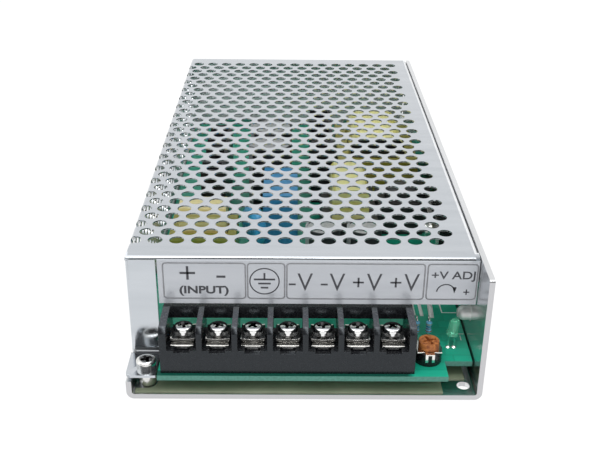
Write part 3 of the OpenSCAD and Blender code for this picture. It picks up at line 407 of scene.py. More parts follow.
bolt_head_d, bolt_head_h = 5.6 * mm, 2.2 * mm
bolt = (bolt_head_d, bolt_head_h, 3.0 * mm)
base_top = 1.5 * mm
painted_recess_shade(plating)
low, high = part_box("board_screws")
left_column, right_column = low.x + bolt_head_d / 2, high.x - bolt_head_d / 2
front_row, back_row = low.y + bolt_head_d / 2, high.y - bolt_head_d / 2
board_screw_places = ((left_column, back_row), (right_column, back_row), (right_column, front_row))
board_screw_meshes = [
    pan_screw(f"board_screw_{k}", bolt, board_top - base_top, (x, y, board_top), (0, 0, 0.5 * k), plating)
    for k, (x, y) in enumerate(board_screw_places)
]
piece("board_screw_set", joined("board_screw_set", board_screw_meshes), plating, "case", "plated_steel",
      "board_screws")


# Terminal block: one black glass-filled moulding with eight barriers, a rail behind them and a recess for
# each contact's tab. Moulded corners are slightly round, so they catch the light, and a painted highlight
# lightens the barriers' tops but not the rail's, which lies in the shade of the cover's lip.
black, glint, gloss_range = (0.005, 0.0055, 0.007), (0.009, 0.0095, 0.0115), (0.22, 0.3)
block_plastic = grained("black_moulding", black, glint, gloss_range, 1500.0, Specular_IOR_Level=0.45)
highlit_finish, tree, shader, place = finish("highlit_moulding", Specular_IOR_Level=0.45,
                                      Specular_Tint=(0.84, 0.93, 1.0, 1))
grain(tree, shader, noise_at(tree, place, 1500.0), black, glint, gloss_range)
highlight_depth, rail_t = 0.5 * mm, 3.7 * mm
spot = axes(tree, place)
# painted highlight: the top 0.5 mm of the block is lightened, except on the rail under the lip
near_top = span(tree, spot["Z"], block_high.z - highlight_depth, block_high.z)
open_part = calc(tree, spot["Y"], block_high.y - rail_t, "LESS_THAN")
over(tree, shader, calc(tree, near_top, open_part), (0.075, 0.08, 0.09))
eased("terminal_block", 0.22 * mm, highlit_finish, "black_moulding")


# Contact plates and clamp washers: stamped from strip and tinned bright. A plate lies on the block's floor
# with its tab folded over the front and its pin through the board; a washer is bent to a shallow saddle.
tinned = grained("tinned_strip", (0.78, 0.77, 0.74), (0.90, 0.89, 0.86), (0.08, 0.17), 500.0, Metallic=1.0)
terminals = range(1, 8)
for i in terminals:
    eased(f"contact_plate_{i}", 0.12 * mm, tinned, "contact_metal")
    eased(f"clamp_washer_{i}", 0.1 * mm, tinned, "plated_steel", f"washer_{i}")


# Terminal screws: one pan-head steel screw through each washer into its plate, chromed bright. Each was
# left at its own turn, and backs out of its plate with its washer.
terminal_head_h, terminal_thread_d = 2.3 * mm, 3.5 * mm
chrome = grained("chromed_screw", (0.80, 0.80, 0.80), (0.90, 0.90, 0.89), (0.06, 0.13), 600.0, Metallic=1.0)
painted_recess_shade(chrome)
screw_turns = (17, 68, 40, 75, 8, 84, 45)
for i, degrees in zip(terminals, screw_turns):
    low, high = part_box(f"terminal_screw_{i}")
    seat = ((low.x + high.x) / 2, (low.y + high.y) / 2, high.z - terminal_head_h)
    screw_mesh = pan_screw(f"screw_mesh_{i}", (high.x - low.x, terminal_head_h, terminal_thread_d),
                           seat[2] - low.z, seat, (0, 0, math.radians(degrees)), chrome)
    piece(f"terminal_screw_{i}_headed", screw_mesh, chrome, f"screw_{i}", "plated_steel",
          f"terminal_screw_{i}")


# Trimmer: a black moulded base soldered to the board, a sprung plated clip with a forked tab over its
# front, and a baked orange-brown rotor with a cross slot that turns on its stem.
eased("trimmer_base", 0.25 * mm, block_plastic, "black_moulding")
eased("trimmer_clip", 0.06 * mm, tinned, "plated_steel")
rotor_clay = grained("rotor_composition", (0.22, 0.055, 0.010), (0.56, 0.20, 0.05), (0.5, 0.7), 1100.0,
                     bump=0.04 * mm)
eased("trimmer_rotor", 0.3 * mm, rotor_clay, "rotor_plastic", "trimmer")


# Lead wires of the lamp and the resistors: tinned copper, bent by hand and soldered into the board. Each
# is swept along a path of a few points that is rounded at the bends.
lead_tree, given = new_tree("bent_lead", Geometry_in="Geometry", Radius="Float", Bend="Float",
                            Material="Material")
lead_path = wire(lead_tree, "GeometryNodeMeshToCurve", Mesh=given["Geometry in"]).outputs[0]
lead_path = wire(lead_tree, "GeometryNodeFilletCurve", {"mode": "POLY"}, Curve=lead_path, Count=6,
                 Radius=given["Bend"])
lead_round = wire(lead_tree, "GeometryNodeCurvePrimitiveCircle", Resolution=12, Radius=given["Radius"])
lead_tube = wire(lead_tree, "GeometryNodeCurveToMesh", Curve=lead_path.outputs[0],
                 Profile_Curve=lead_round.outputs[0], Fill_Caps=True).outputs[0]
close_tree(lead_tree, smooth_by_angle(lead_tree, lead_tube, 50), given["Material"])
lead_r, lead_bend = 0.28 * mm, 0.7 * mm


def path_mesh(name, *lines):
    """Open lines of points as the edges of a mesh; a line whose last point is its first is closed."""
    shape = bmesh.new()
    for line in lines:
        closed = Vector(line[0]) == Vector(line[-1])
        points = [shape.verts.new(point) for point in (line[:-1] if closed else line)]
        for first, second in zip(points, points[1:] + points[:1] if closed else points[1:]):
            shape.edges.new((first, second))
    return kept(shape, name)


def leads(name, *lines):
    """Lead wires along these lines."""
    return grown(name, lead_tree, path_mesh(name, *lines), Radius=lead_r, Bend=lead_bend, Material=tinned)


# Indicator lamp: a 3 mm lens of tinted clear resin, cast round its lead frame, leaning a little to the
# right on its two legs.
lamp_low, lamp_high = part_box("indicator_lamp")
lamp_y = (lamp_low.y + lamp_high.y) / 2
lamp_r, lamp_straight = 1.5 * mm, 3.6 * mm
lamp_flange_r, lamp_flange_h = 1.75 * mm, 0.8 * mm
lamp_stand, lamp_lean = 4.4 * mm, math.radians(8)
lamp_x = lamp_low.x + lamp_flange_r * math.cos(lamp_lean)
dome_steps = 10
lens_profile = [(0, 0), (lamp_flange_r, 0), (lamp_flange_r, lamp_flange_h), (lamp_r, lamp_flange_h),
                (lamp_r, lamp_straight)]
lens_profile += [(lamp_r * math.cos(a), lamp_straight + lamp_r * math.sin(a))
                 for a in (k * math.pi / (2 * dome_steps) for k in range(1, dome_steps))]
lens_profile += [(0, lamp_straight + lamp_r)]
lean = Matrix.Translation((lamp_x, lamp_y, board_top + lamp_stand)) @ Matrix.Rotation(lamp_lean, 4, "Y")
lens = turned("lamp_lens", lens_profile)
lens.transform(lean)
resin = grained("tinted_resin", (0.19, 0.80, 0.53), (0.27, 0.88, 0.62), (0.10, 0.16), 300.0,
                Transmission_Weight=0.65, IOR=1.5)
piece("lamp_lens", lens, resin, "case", "lamp_resin", "indicator_lamp")
cup_profile = [(radius * mm, height * mm)
               for radius, height in ((0, 0.4), (0.5, 0.4), (0.75, 2.4), (0.55, 2.4), (0, 1.9))]
cup = turned("lamp_cup", cup_profile, 16)
cup.transform(lean)
lamp_leg_x = 0.85 * mm
leg_bend_z, leg_end = board_top + 0.6 * lamp_stand, 0.6 * mm
lamp_leads = leads("lamp_leads", *(
    [(lamp_x + x, lamp_y, board_top), (lamp_x + x, lamp_y, leg_bend_z), tuple(lean @ Vector((x, 0, leg_end)))]
    for x in (-lamp_leg_x, lamp_leg_x)))
piece("lamp_frame", joined("lamp_frame", [lamp_leads, cup]), tinned, "case", "plated_steel")


# Resistors: two small film resistors on end, each a dipped blue bead with swollen ends and colour bands.
# One lead goes straight down, the other loops over the top.
resistor_r, resistor_waist_r = 0.95 * mm, 0.78 * mm
resistor_l, loop_span, lead_in = 3.8 * mm, 1.6 * mm, 0.5 * mm
bead_foot = board_top + 2.6 * mm
bead_top = bead_foot + resistor_l
lacquer, tree, shader, place = finish("banded_lacquer", Roughness=0.18, Specular_IOR_Level=0.6)
blue, band_w = (0.17, 0.52, 0.78), 0.08
bands = [(0.0, blue)]
for position, colour in ((0.16, (0.30, 0.12, 0.04)), (0.38, (0.16, 0.10, 0.10)),
                         (0.56, (0.05, 0.10, 0.16)), (0.76, (0.45, 0.30, 0.08))):
    bands += [(position, colour), (position + band_w, blue)]
along = span(tree, axes(tree, place)["Z"], bead_foot, bead_top)
tree.links.new(ramp(tree, along, *bands, stepped=True), shader.inputs["Base Color"])
bead_profile = [(0, 0), (0.55 * resistor_r, 0), (0.9 * resistor_r, 0.06 * resistor_l),
                (resistor_r, 0.16 * resistor_l), (0.92 * resistor_r, 0.26 * resistor_l),
                (resistor_waist_r, 0.34 * resistor_l)]
bead_profile += [(radius, resistor_l - height) for radius, height in reversed(bead_profile)]
for i in (1, 2):
    low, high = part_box(f"resistor_{i}")
    x, y = (low.x + high.x) / 2, low.y + resistor_r
    bead = turned(f"resistor_{i}_bead", bead_profile, 28)
    bead.transform(Matrix.Translation((x, y, bead_foot)))
    piece(f"resistor_{i}_bead", bead, lacquer, "case", "resistor_lacquer", f"resistor_{i}")
    loop_top = high.z - lead_r
    wires = leads(f"resistor_{i}_leads", [(x, y, board_top), (x, y, bead_foot + lead_in)],
                  [(x, y, bead_top - lead_in), (x, y, loop_top), (x, y + loop_span, loop_top),
                   (x, y + loop_span, board_top)])
    piece(f"resistor_{i}_leads", wires, tinned, "case", "plated_steel")


# Transformer, choke and smaller coils: ground grey ferrite cores clamped round bobbins, with the windings
# wrapped in glossy film tape whose turns show as fine laps. Two of the cores are taped over too, in an olive
# copy of the yellow tape that is painted shade; the front flange of the transformer's bobbin shows black
# before the winding.
ferrite = grained("ground_ferrite", (0.020, 0.021, 0.022), (0.045, 0.045, 0.047), (0.45, 0.65), 900.0,
                  bump=0.01 * mm)
for node in ("choke_core", "drive_core"):
    eased(node, 0.3 * mm, ferrite, "ferrite")
eased("transformer_bobbin", 0.2 * mm, block_plastic, "black_moulding")


def film_tape(name, dark, light, flange_y=None):
    """Wrapped tape: laps across the winding, a little lighter on each overlap; black before flange_y."""
    material, tree, shader, place = finish(name, Specular_IOR_Level=0.55)
    laps = wire(tree, "ShaderNodeTexWave", {"bands_direction": "Z"}, Vector=place, Scale=160.0,
                Distortion=1.5)
    grain(tree, shader, laps.outputs["Fac"], dark, light, (0.22, 0.34), 0.03 * mm)
    if flange_y is not None:
        over(tree, shader, calc(tree, axes(tree, place)["Y"], flange_y, "LESS_THAN"), glint)
    return material


bobbin_flange = 1.0 * mm
bright, brightest = (0.93, 0.87, 0.27), (0.98, 0.95, 0.42)
bright_tape = film_tape("bright_tape", bright, brightest)
flanged_tape = film_tape("flanged_tape", bright, brightest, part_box("transformer_coil")[0].y + bobbin_flange)
pale_tape = film_tape("pale_tape", (0.80, 0.64, 0.24), (0.92, 0.80, 0.40))
# painted shade: an olive, darker copy of the yellow tape, used for the taped cores
tape_in_painted_shade = film_tape("tape_in_painted_shade", (0.34, 0.32, 0.05), (0.44, 0.41, 0.09))
dark_tape = film_tape("dark_tape", (0.018, 0.02, 0.022), (0.035, 0.038, 0.042))
paint(flanged_tape, "transformer_coil")
paint(bright_tape, "choke_coil")
for node in ("transformer_core", "filter_core"):
    eased(node, 0.3 * mm, tape_in_painted_shade, "ferrite")
paint(pale_tape, "filter_coil")
paint(dark_tape, "drive_coil")


# Electrolytic capacitors: drawn aluminium cans in shrunk dark sleeves, with a pale stripe down the
# negative side; the scored can shows inside the sleeve's rim on top.
def sleeve(node, body_colour):
    """The sleeve and bare top of one can, centred on it."""
    rim_w, rim_h, stripe_edge = 0.75 * mm, 1.0 * mm, -0.8
    low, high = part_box(node)
    middle = (low + high) / 2
    radius = (high.x - low.x) / 2
    material, tree, shader, place = finish(node + "_sleeve", Specular_IOR_Level=0.5)
    centred = wire(tree, "ShaderNodeMapping", Vector=place, Location=(-middle.x, -middle.y, -high.z))
    spot = axes(tree, centred.outputs[0])
    flat = wire(tree, "ShaderNodeCombineXYZ", X=spot["X"], Y=spot["Y"]).outputs[0]
    from_axis = wire(tree, "ShaderNodeVectorMath", {"operation": "LENGTH"}, i0=flat).outputs["Value"]
    bare = calc(tree, calc(tree, from_axis, radius - rim_w, "LESS_THAN"),
                calc(tree, spot["Z"], -rim_h, "GREATER_THAN"))
    stripe = calc(tree, spot["X"], stripe_edge * radius, "LESS_THAN")
    sleeve_colour = ramp(tree, stripe, (0.0, body_colour), (1.0, (0.45, 0.46, 0.48)))
    can_colour = ramp(tree, noise_at(tree, place, 700.0), (0.3, (0.55, 0.56, 0.57)), (0.7, (0.72, 0.73, 0.74)))
    tree.links.new(mix(tree, bare, sleeve_colour, can_colour), shader.inputs["Base Color"])
    tree.links.new(bare, shader.inputs["Metallic"])
    paint(material, node)


for i in (1, 2):
    sleeve(f"input_capacitor_{i}", (0.015, 0.017, 0.022))
    sleeve(f"output_capacitor_{i}", (0.03, 0.032, 0.036))


# Film capacitor and surge absorber: a blue moulded box and a disc dipped in blue resin, both soldered to
# the board on the input side.
blue_box = grained("blue_moulding", (0.05, 0.29, 0.58), (0.08, 0.37, 0.68), (0.3, 0.42), 900.0,
                   bump=0.01 * mm)
eased("film_capacitor", 0.4 * mm, blue_box, "blue_case")
blue_dip = grained("blue_dip", (0.05, 0.38, 0.75), (0.08, 0.46, 0.85), (0.2, 0.32), 500.0, bump=0.03 * mm)
paint(blue_dip, "surge_absorber")


# Heat sinks, power devices, pad and clamp: black anodised extrusions on the board, and two moulded devices
# pressed by a plated clamp and its screw through a soft pad against the right wall.
anodised = grained("black_anodising", (0.012, 0.012, 0.014), (0.028, 0.028, 0.031), (0.35, 0.5), 800.0,
                   stretch=(1, 1, 0.05), Metallic=0.3)
for node in ("input_heat_sink", "output_heat_sink"):
    eased(node, 0.2 * mm, anodised, "black_anodised")
for node in ("power_device_1", "power_device_2"):
    eased(node, 0.15 * mm, block_plastic, "black_moulding")
pad = grained("soft_pad", (0.60, 0.46, 0.44), (0.70, 0.56, 0.53), (0.6, 0.75), 700.0)
paint(pad, "thermal_pad")
eased("wall_clamp", 0.15 * mm, plating, "plated_steel")
low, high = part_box("clamp_screw")
clamp_place = (low.x + bolt_head_h, (low.y + high.y) / 2, (low.z + high.z) / 2)
clamp_mesh = pan_screw("clamp_screw_mesh", bolt, high.x - clamp_place[0], clamp_place,
                       (0, math.radians(-90), 0), plating)
piece("clamp_screw_headed", clamp_mesh, plating, "case", "plated_steel", "clamp_screw")


# Cover: bright plated thin steel, punched with staggered vents and folded into the top, left wall, front
# lip, corner strip with its foot, flange and back. The lip's printed front and the inside are a satin grey.
# The fold above the foot carries a painted dark reflection, and the right-hand fold a paler painted highlight.
# The solid is rounded here at the front fold, and thinned from the inside where the vents are.
cover_low, cover_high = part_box("cover")
sheet_t, vent_t, fold_r = 0.8 * mm, 0.4 * mm, 1.2 * mm
lip_front, lip_left, lip_top = -87.4 * mm, -40.3 * mm, cover_high.z - fold_r
foot_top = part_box("foot_screw")[1].z - bolt_head_h
plated, tree, shader, place = finish("plated_cover")
spangle = noise_at(tree, place, 260.0, stretch=(0.12, 1, 1))
spot = axes(tree, place)


def zone(*sides):
    """Where a place on the sheet is past every one of these sides, each an axis, an edge and a kind."""
    held = [calc(tree, spot[axis], edge, kind) for axis, edge, kind in sides]
    whole_zone = held[0]
    for side in held[1:]:
        whole_zone = calc(tree, whole_zone, side)
    return whole_zone


skin, face_skin, strip_gap = 0.05 * mm, 0.02 * mm, 0.1 * mm
printed_zone = zone(("Y", lip_front + face_skin, "LESS_THAN"), ("X", lip_left - strip_gap, "GREATER_THAN"),
                    ("Z", lip_top, "LESS_THAN"))
inside = zone(("X", cover_low.x + vent_t - skin, "GREATER_THAN"),
              ("Y", lip_front + vent_t - skin, "GREATER_THAN"),
              ("Y", cover_high.y - vent_t + skin, "LESS_THAN"),
              ("Z", cover_high.z - vent_t + skin, "LESS_THAN"))
# painted reflection: the strip's fold into the foot is darkened, as the dark things it would mirror
foot_fold_painted_dark = zone(("X", lip_left, "LESS_THAN"), ("Y", lip_front + face_skin, "LESS_THAN"),
                 ("Y", lip_front - fold_r, "GREATER_THAN"), ("Z", foot_top + fold_r, "LESS_THAN"))
# painted highlight: the right-hand fold is made a paler, duller grey, as a soft light line along it
right_fold_painted_pale = zone(("X", cover_high.x - fold_r, "GREATER_THAN"), ("Y", lip_front + 2 * fold_r, "GREATER_THAN"))
satin_inside_and_pale_fold = calc(tree, inside, right_fold_painted_pale, "MAXIMUM")
colour = ramp(tree, spangle, (0.3, (0.525, 0.555, 0.59)), (0.7, (0.58, 0.61, 0.645)))
gloss = span(tree, spangle, 0.3, 0.7, 0.1, 0.17)
for where, dark, light, roughness in (
        (satin_inside_and_pale_fold, (0.70, 0.715, 0.73), (0.77, 0.78, 0.79), 0.6),
        (foot_fold_painted_dark, (0.24, 0.25, 0.26), (0.31, 0.32, 0.33), 0.3),
        (printed_zone, (0.445, 0.465, 0.50), (0.495, 0.515, 0.55), 0.2)):
    colour = mix(tree, where, colour, ramp(tree, spangle, (0.3, dark), (0.7, light)))
    gloss = wire(tree, "ShaderNodeMix", {"data_type": "FLOAT"}, i0=where, i2=gloss, i3=roughness).outputs[0]
tree.links.new(colour, shader.inputs["Base Color"])
tree.links.new(gloss, shader.inputs["Roughness"])
coated, coated_metallic = calc(tree, printed_zone, satin_inside_and_pale_fold, "MAXIMUM"), 0.35
tree.links.new(span(tree, coated, 0.0, 1.0, 1.0, coated_metallic), shader.inputs["Metallic"])


def prism(name, outline, left, right):
    """A solid between two places along X from an outline of (y, z) points."""
    shape = bmesh.new()
    end = shape.faces.new([shape.verts.new((left, y, z)) for y, z in outline])
    swept = bmesh.ops.extrude_face_region(shape, geom=[end])["geom"]
    bmesh.ops.translate(shape, verts=[v for v in swept if isinstance(v, bmesh.types.BMVert)],
                        vec=(right - left, 0, 0))
    bmesh.ops.recalc_face_normals(shape, faces=shape.faces)
    return kept(shape, name)


def box_outline(front, back, low, high):
    """The outline of a plain box seen along X."""
    return [(front, low), (back, low), (back, high), (front, high)]


spare, wall_foot = 1.0 * mm, 9.0 * mm
fold_y, fold_z = lip_front + fold_r, cover_high.z - fold_r
fold_span, fold_steps = math.acos((fold_r - sheet_t) / fold_r), 10
fold_waste = [(fold_y - fold_r * math.sin(a), fold_z + fold_r * math.cos(a))
              for a in (fold_span * (1 - k / fold_steps) for k in range(fold_steps + 1))]
fold_waste += [(fold_y, cover_high.z + spare), (lip_front - spare, cover_high.z + spare),
               (lip_front - spare, fold_waste[0][1])]
panel_front, panel_back = lip_front + 2 * fold_r, cover_high.y - 2 * fold_r
under_top = box_outline(panel_front, panel_back, fold_z - spare, cover_high.z - vent_t)
beside_wall = box_outline(panel_front, panel_back, wall_foot, fold_z)
folded = kept(welded("cover"), "square_edged")
for name, outline, left, right in (
        ("fold_waste", fold_waste, cover_low.x - spare, cover_high.x - fold_r),
        ("under_top", under_top, cover_low.x + fold_r, cover_high.x - fold_r),
        ("beside_wall", beside_wall, cover_low.x + vent_t, cover_low.x + fold_r)):
    cutter = placed(name, prism(name, outline, left, right))
    folded = after(folded, "BOOLEAN", operation="DIFFERENCE", solver="MANIFOLD", object=cutter)
    bpy.data.objects.remove(cutter)
folded = after(shaded(folded, 35), "WEIGHTED_NORMAL", keep_sharp=True)
piece("cover_folded", folded, plated, "case", "cover_sheet", "cover")


# Foot and cover screws: bright plated steel. A pan head clamps the cover's foot to its standoff, and two
# flush screws draw its flange to the chassis wall.
paint(plating, "cover_screws")
low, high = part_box("foot_screw")
foot_place = ((low.x + high.x) / 2, (low.y + high.y) / 2, foot_top)
foot_mesh = pan_screw("foot_screw_mesh", bolt, foot_top - low.z, foot_place, (0, 0, math.radians(30)), plating)
piece("foot_screw_headed", foot_mesh, plating, "case", "plated_steel", "foot_screw")


# Printed legends: screen ink on the lip, in thin lines and plain letters, and white ink on the board round
# the parts of the front shelf. Each line follows its path with a flat ribbon of ink. Places on the lip are in
# millimetres across and up, on the board across and back.
ink_tree, given = new_tree("printed_line", Geometry_in="Geometry", Stroke="Float", Thickness="Float",
                           Turn="Rotation", Place="Vector", Material="Material")
ink_path = wire(ink_tree, "GeometryNodeMeshToCurve", Mesh=given["Geometry in"]).outputs[0]
ink_path = wire(ink_tree, "GeometryNodeSetCurveNormal", {"mode": "Z_UP"}, Curve=ink_path).outputs[0]
ribbon = wire(ink_tree, "GeometryNodeCurvePrimitiveQuadrilateral", Width=given["Stroke"],
              Height=given["Thickness"]).outputs[0]
ink_line = wire(ink_tree, "GeometryNodeCurveToMesh", Curve=ink_path, Profile_Curve=ribbon,
                Fill_Caps=True).outputs[0]
close_tree(ink_tree, moved(ink_tree, ink_line, Rotation=given["Turn"], Translation=given["Place"]),
           given["Material"])
ink_t = 0.03 * mm
upright = (math.radians(90), 0, 0)
grey_ink = grained("grey_ink", (0.035, 0.037, 0.045), (0.055, 0.057, 0.065), (0.45, 0.6), 900.0)
pale_ink = grained("pale_ink", (0.19, 0.195, 0.21), (0.24, 0.245, 0.26), (0.45, 0.6), 900.0)
white_ink = grained("white_ink", (0.74, 0.78, 0.76), (0.86, 0.88, 0.86), (0.5, 0.65), 900.0)


def arc(x, y, radius, start, end, steps=24):
    """Points along part of a circle, in degrees."""
    angles = [math.radians(start + (end - start) * k / steps) for k in range(steps + 1)]
    return [(x + radius * math.cos(a), y + radius * math.sin(a)) for a in angles]


def round_frame(left, bottom, right, top, radius):
    """A closed rectangle with round corners."""
    corners = ((right - radius, bottom + radius, -90), (right - radius, top - radius, 0),
               (left + radius, top - radius, 90), (left + radius, bottom + radius, 180))
    line = [point for x, y, start in corners for point in arc(x, y, radius, start, start + 90, 6)]
    return line + line[:1]


def bar(x, y, length, standing=False):
    """A straight stroke about its middle."""
    half = length / 2
    return [(x, y - half), (x, y + half)] if standing else [(x - half, y), (x + half, y)]


def plus(x, y, length):
    """Two crossed strokes."""
    return bar(x, y, length), bar(x, y, length, standing=True)


def printed(name, stroke, lines, ink, turn, place):
    """Lines as ribbons of ink on a face."""
    scaled = [[(x * mm, y * mm, 0) for x, y in line] for line in lines]
    return grown(name, ink_tree, path_mesh(name, *scaled), Stroke=stroke * mm, Thickness=ink_t, Turn=turn,
                 Place=place, Material=ink)


def on_lip(name, stroke, *lines, ink=grey_ink):
    """Lines on the lip's face."""
    return printed(name, stroke, lines, ink, upright, (0, lip_front - ink_t / 2, 0))


def letters(text, x, z, height, width, weight=0.012):
    """Plain letters as a solid of ink on the lip, fitted to the height and width of the print."""
    curve = bpy.data.curves.new("letters", "FONT")
    curve.body = text
    curve.offset = weight
    curve.extrude = ink_t / 2
    mesh = settled(placed("letters", curve))
    spread = [[getattr(v.co, axis) for v in mesh.vertices] for axis in "xy"]
    low_x, high_x, low_y, high_y = (f(s) for s in spread for f in (min, max))
    mesh.transform(Matrix.Translation((-(low_x + high_x) / 2, -(low_y + high_y) / 2, 0)))
    mesh.transform(Matrix.Diagonal((width * mm / (high_x - low_x), height * mm / (high_y - low_y), 1, 1)))
    mesh.transform(Euler(upright).to_matrix().to_4x4())
    mesh.transform(Matrix.Translation((x * mm, lip_front - ink_t / 2, z * mm)))
    return mesh


frame_bottom, frame_top, frame_r = 25.05, 36.1, 0.9
frames = [round_frame(left, frame_bottom, right, frame_top, frame_r)
          for left, right in ((-38.8, -16.4), (-15.8, -5.7), (-5.1, 32.5), (33.3, 46.9))]
piece("legend_frames", on_lip("legend_frames", 0.38, *frames, ink=pale_ink), pale_ink, "case", "cover_sheet")
earth_x, earth_z, earth_r = -11.2, 30.5, 4.0
earth_bars = [bar(earth_x, earth_z + 1.6, 2.0, standing=True)]
earth_bars += [bar(earth_x, earth_z + rise, length) for rise, length in ((0.6, 5.8), (-0.7, 3.4), (-2.0, 2.1))]
turn_x, turn_z, turn_r = 38.6, 27.3, 2.5
head_x, head_z = turn_x + 0.95 * turn_r, turn_z + 0.25 * turn_r + 0.8
arrow_head = [bar(head_x, head_z - drop, 2 * reach)
              for reach, drop in ((0.5, 0.0), (0.42, 0.35), (0.3, 0.7), (0.18, 1.05), (0.08, 1.4))]
output_signs = [bar(x, 29.6, 1.9) for x in (-3.6, 5.15)]
output_signs += [line for x in (14.5, 24.75) for line in plus(x, 30.3, 3.0)]
legend_lines = [
    on_lip("legend_earth", 0.34, arc(earth_x, earth_z, earth_r, 0, 360, 48),
           arc(turn_x, turn_z, turn_r, 175, 20), *plus(44.3, 27.4, 1.7)),
    on_lip("legend_signs", 0.52, *output_signs, *earth_bars, *arrow_head),
    on_lip("legend_input_signs", 0.66, *plus(-32.15, 33.0, 4.2), bar(-23.05, 31.9, 2.45)),
]
words = [letters("V", x, 30.3, 5.45, 4.2, -0.006) for x in (-0.1, 8.7, 18.85, 29.07)]
words += [letters("(INPUT)", -27.8, 27.4, 3.2, 13.5, 0.03), letters("+V ADJ", 40.4, 32.3, 3.2, 12.0)]
piece("legend_letters", joined("legend_letters", words), grey_ink, "case", "cover_sheet")
piece("legend_lines", joined("legend_lines", legend_lines), grey_ink, "case", "cover_sheet")
board_lines = {
    0.25: [[(44.6, -78.1), (46.9, -78.1)], [(45.7, -79.0), (45.6, -81.4)]],
    0.45: [[(42.1, -60.5), (42.2, -66.4), (46.5, -66.4)]],
    0.65: [[(33.7, -60.5), (33.7, -67.9)]],
    1.1: [[(35.8, -60.5), (35.85, -68.4)]],
    1.55: [[(39.1, -60.5), (38.65, -69.4)]],
}
board_marks = [printed("board_mark", stroke, lines, white_ink, (0, 0, 0), (0, 0, board_top + ink_t / 2))
               for stroke, lines in board_lines.items()]
piece("board_print", joined("board_print", board_marks), white_ink, "case", "board")


# Solder joints: a low bright fillet of solder round every lead of the lamp and the resistors, where it goes
# through the front of the board. One cone is set on each lead's place.
joint_r, joint_h, joint_taper = 0.75 * mm, 0.35 * mm, 0.45
pad_tree, given = new_tree("solder_joint", Geometry_in="Geometry", Radius="Float", Height="Float",
                           Material="Material")
fillet = wire(pad_tree, "GeometryNodeMeshCone", Vertices=16, Side_Segments=1, Depth=given["Height"],
              Radius_Bottom=given["Radius"],
              Radius_Top=calc(pad_tree, given["Radius"], joint_taper)).outputs["Mesh"]
fillets = wire(pad_tree, "GeometryNodeInstanceOnPoints", Points=given["Geometry in"],
               Instance=fillet).outputs[0]
close_tree(pad_tree, fillets, given["Material"])
joint_places = [(lamp_x + x, lamp_y, board_top) for x in (-lamp_leg_x, lamp_leg_x)]
for i in (1, 2):
    low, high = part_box(f"resistor_{i}")
    joint_places += [((low.x + high.x) / 2, low.y + resistor_r + step, board_top) for step in (0, loop_span)]
joint_points = bpy.data.meshes.new("joint_points")
joint_points.from_pydata(joint_places, [], [])
solder = grown("solder_joints", pad_tree, joint_points, Radius=joint_r, Height=joint_h, Material=tinned)
piece("solder_joints", solder, tinned, "case", "plated_steel")


# Studio: a pale floor that stays white to the camera and in the metal but keeps the shadow, a white surround
# that lights most from above, a soft lamp overhead, a weaker one in front that gloss doesn't see, and two
# cards that only gloss can see: a pale one overhead and a dark one on the camera's side.
def bare_material(name):
    """A material with an empty tree; gives both."""
    material = bpy.data.materials.new(name)
    material.use_nodes = True
    material.node_tree.nodes.clear()
    return material, material.node_tree


def seen_directly(tree):
    """One for rays from the camera, or off gloss or through glass, else nothing."""
    rays = wire(tree, "ShaderNodeLightPath").outputs
    direct = calc(tree, rays["Is Camera Ray"], rays["Is Glossy Ray"], "MAXIMUM")
    return calc(tree, direct, rays["Is Transmission Ray"], "MAXIMUM")


def sheet(name, material, *corners):
    """A flat sheet between four corners."""
    mesh = bpy.data.meshes.new(name)
    mesh.from_pydata(corners, [], [(0, 1, 2, 3)])
    mesh.materials.append(material)
    return placed(name, mesh)


def card(name, material, *corners):
    """A flat card that only glossy rays meet."""
    made = sheet(name, material, *corners)
    made.visible_camera = False
    made.visible_diffuse = False
    made.visible_shadow = False
    made.visible_transmission = False
    return made


def soft_lamp(name, place, width, depth, power):
    """A soft lamp turned to the object."""
    data = bpy.data.lights.new(name, "AREA")
    data.shape = "RECTANGLE"
    data.size = width
    data.size_y = depth
    data.energy = power
    made = placed(name, data)
    made.location = place
    made.rotation_euler = (-made.location).to_track_quat("-Z", "Y").to_euler()
    return made


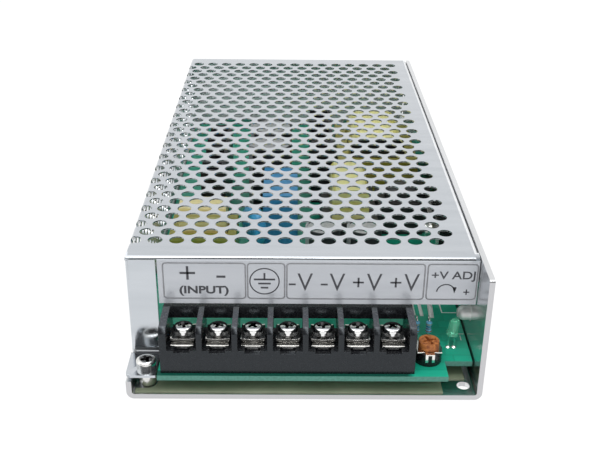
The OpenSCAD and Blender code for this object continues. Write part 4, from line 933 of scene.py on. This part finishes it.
shadow_share, floor_glow = 0.2, 1.05
floor_white, tree = bare_material("floor_white")
paper = wire(tree, "ShaderNodeBsdfDiffuse", Color=(0.94, 0.94, 0.94, 1)).outputs[0]
glow = wire(tree, "ShaderNodeEmission", Color=(1, 1, 1, 1), Strength=floor_glow).outputs[0]
glow_share = calc(tree, seen_directly(tree), 1 - shadow_share)
surface = wire(tree, "ShaderNodeMixShader", Fac=glow_share, i1=paper, i2=glow).outputs[0]
wire(tree, "ShaderNodeOutputMaterial", Surface=surface)
floor_half, floor_z = 3.0, -0.2 * mm
floor = sheet("floor", floor_white, (-floor_half, -floor_half, floor_z), (floor_half, -floor_half, floor_z),
              (floor_half, floor_half, floor_z), (-floor_half, floor_half, floor_z))
card_half = 1.5
dark_y, dark_low, dark_top = -0.8, 0.33, 1.02
card_black = grained("card_black", (0.01, 0.01, 0.01), (0.02, 0.02, 0.02), (0.8, 0.9), 20.0)
dark_card = card("dark_card", card_black, (-card_half, dark_y, dark_low), (card_half, dark_y, dark_low),
                 (card_half, dark_y, dark_top), (-card_half, dark_y, dark_top))
card_glow = 1.6
card_white, tree = bare_material("card_white")
wire(tree, "ShaderNodeOutputMaterial", Surface=wire(tree, "ShaderNodeEmission", Strength=card_glow).outputs[0])
pale_z, pale_front, pale_back = 1.0, -0.55, 0.3
pale_card = card("pale_card", card_white, (-card_half, pale_front, pale_z), (card_half, pale_front, pale_z),
                 (card_half, pale_back, pale_z), (-card_half, pale_back, pale_z))
horizon_light, zenith_light = 0.22, 1.35
world = bpy.data.worlds.new("white_surround")
scene.world = world
world.use_nodes = True
tree = world.node_tree
height = axes(tree, wire(tree, "ShaderNodeTexCoord").outputs["Generated"])["Z"]
daylight = span(tree, height, 0.0, 1.0, horizon_light, zenith_light)
strength = wire(tree, "ShaderNodeMix", {"data_type": "FLOAT"}, i0=seen_directly(tree), i2=daylight, i3=1.0)
background = tree.nodes["Background"]
background.inputs["Color"].default_value = (1, 1, 1, 1)
tree.links.new(strength.outputs[0], background.inputs["Strength"])
soft_lamp("overhead_lamp", (-0.08, -0.45, 0.9), 0.55, 0.25, 2.4)
front_fill = soft_lamp("front_fill", (0.1, -0.85, 0.75), 0.8, 0.5, 1.3)
front_fill.visible_glossy = False
scene.view_settings.view_transform = "Standard"


# Camera: a little left of the middle, in front and above, looking down on the terminals, with the tilt and
# the perspective of the photograph.
camera_data = bpy.data.cameras.new("camera")
camera_data.sensor_width = 36.0
camera_data.lens = 55.0
camera_data.clip_start = 0.01
camera = placed("camera", camera_data)
camera_place = Vector((-4.28, -304.4, 156.54)) * mm
pitch, yaw, roll = 0.4646, 0.0120, 0.0115
camera.matrix_world = (Matrix.Translation(camera_place) @ Matrix.Rotation(-yaw, 4, "Z")
                       @ Matrix.Rotation(math.pi / 2 - pitch, 4, "X") @ Matrix.Rotation(roll, 4, "Z"))
scene.camera = camera
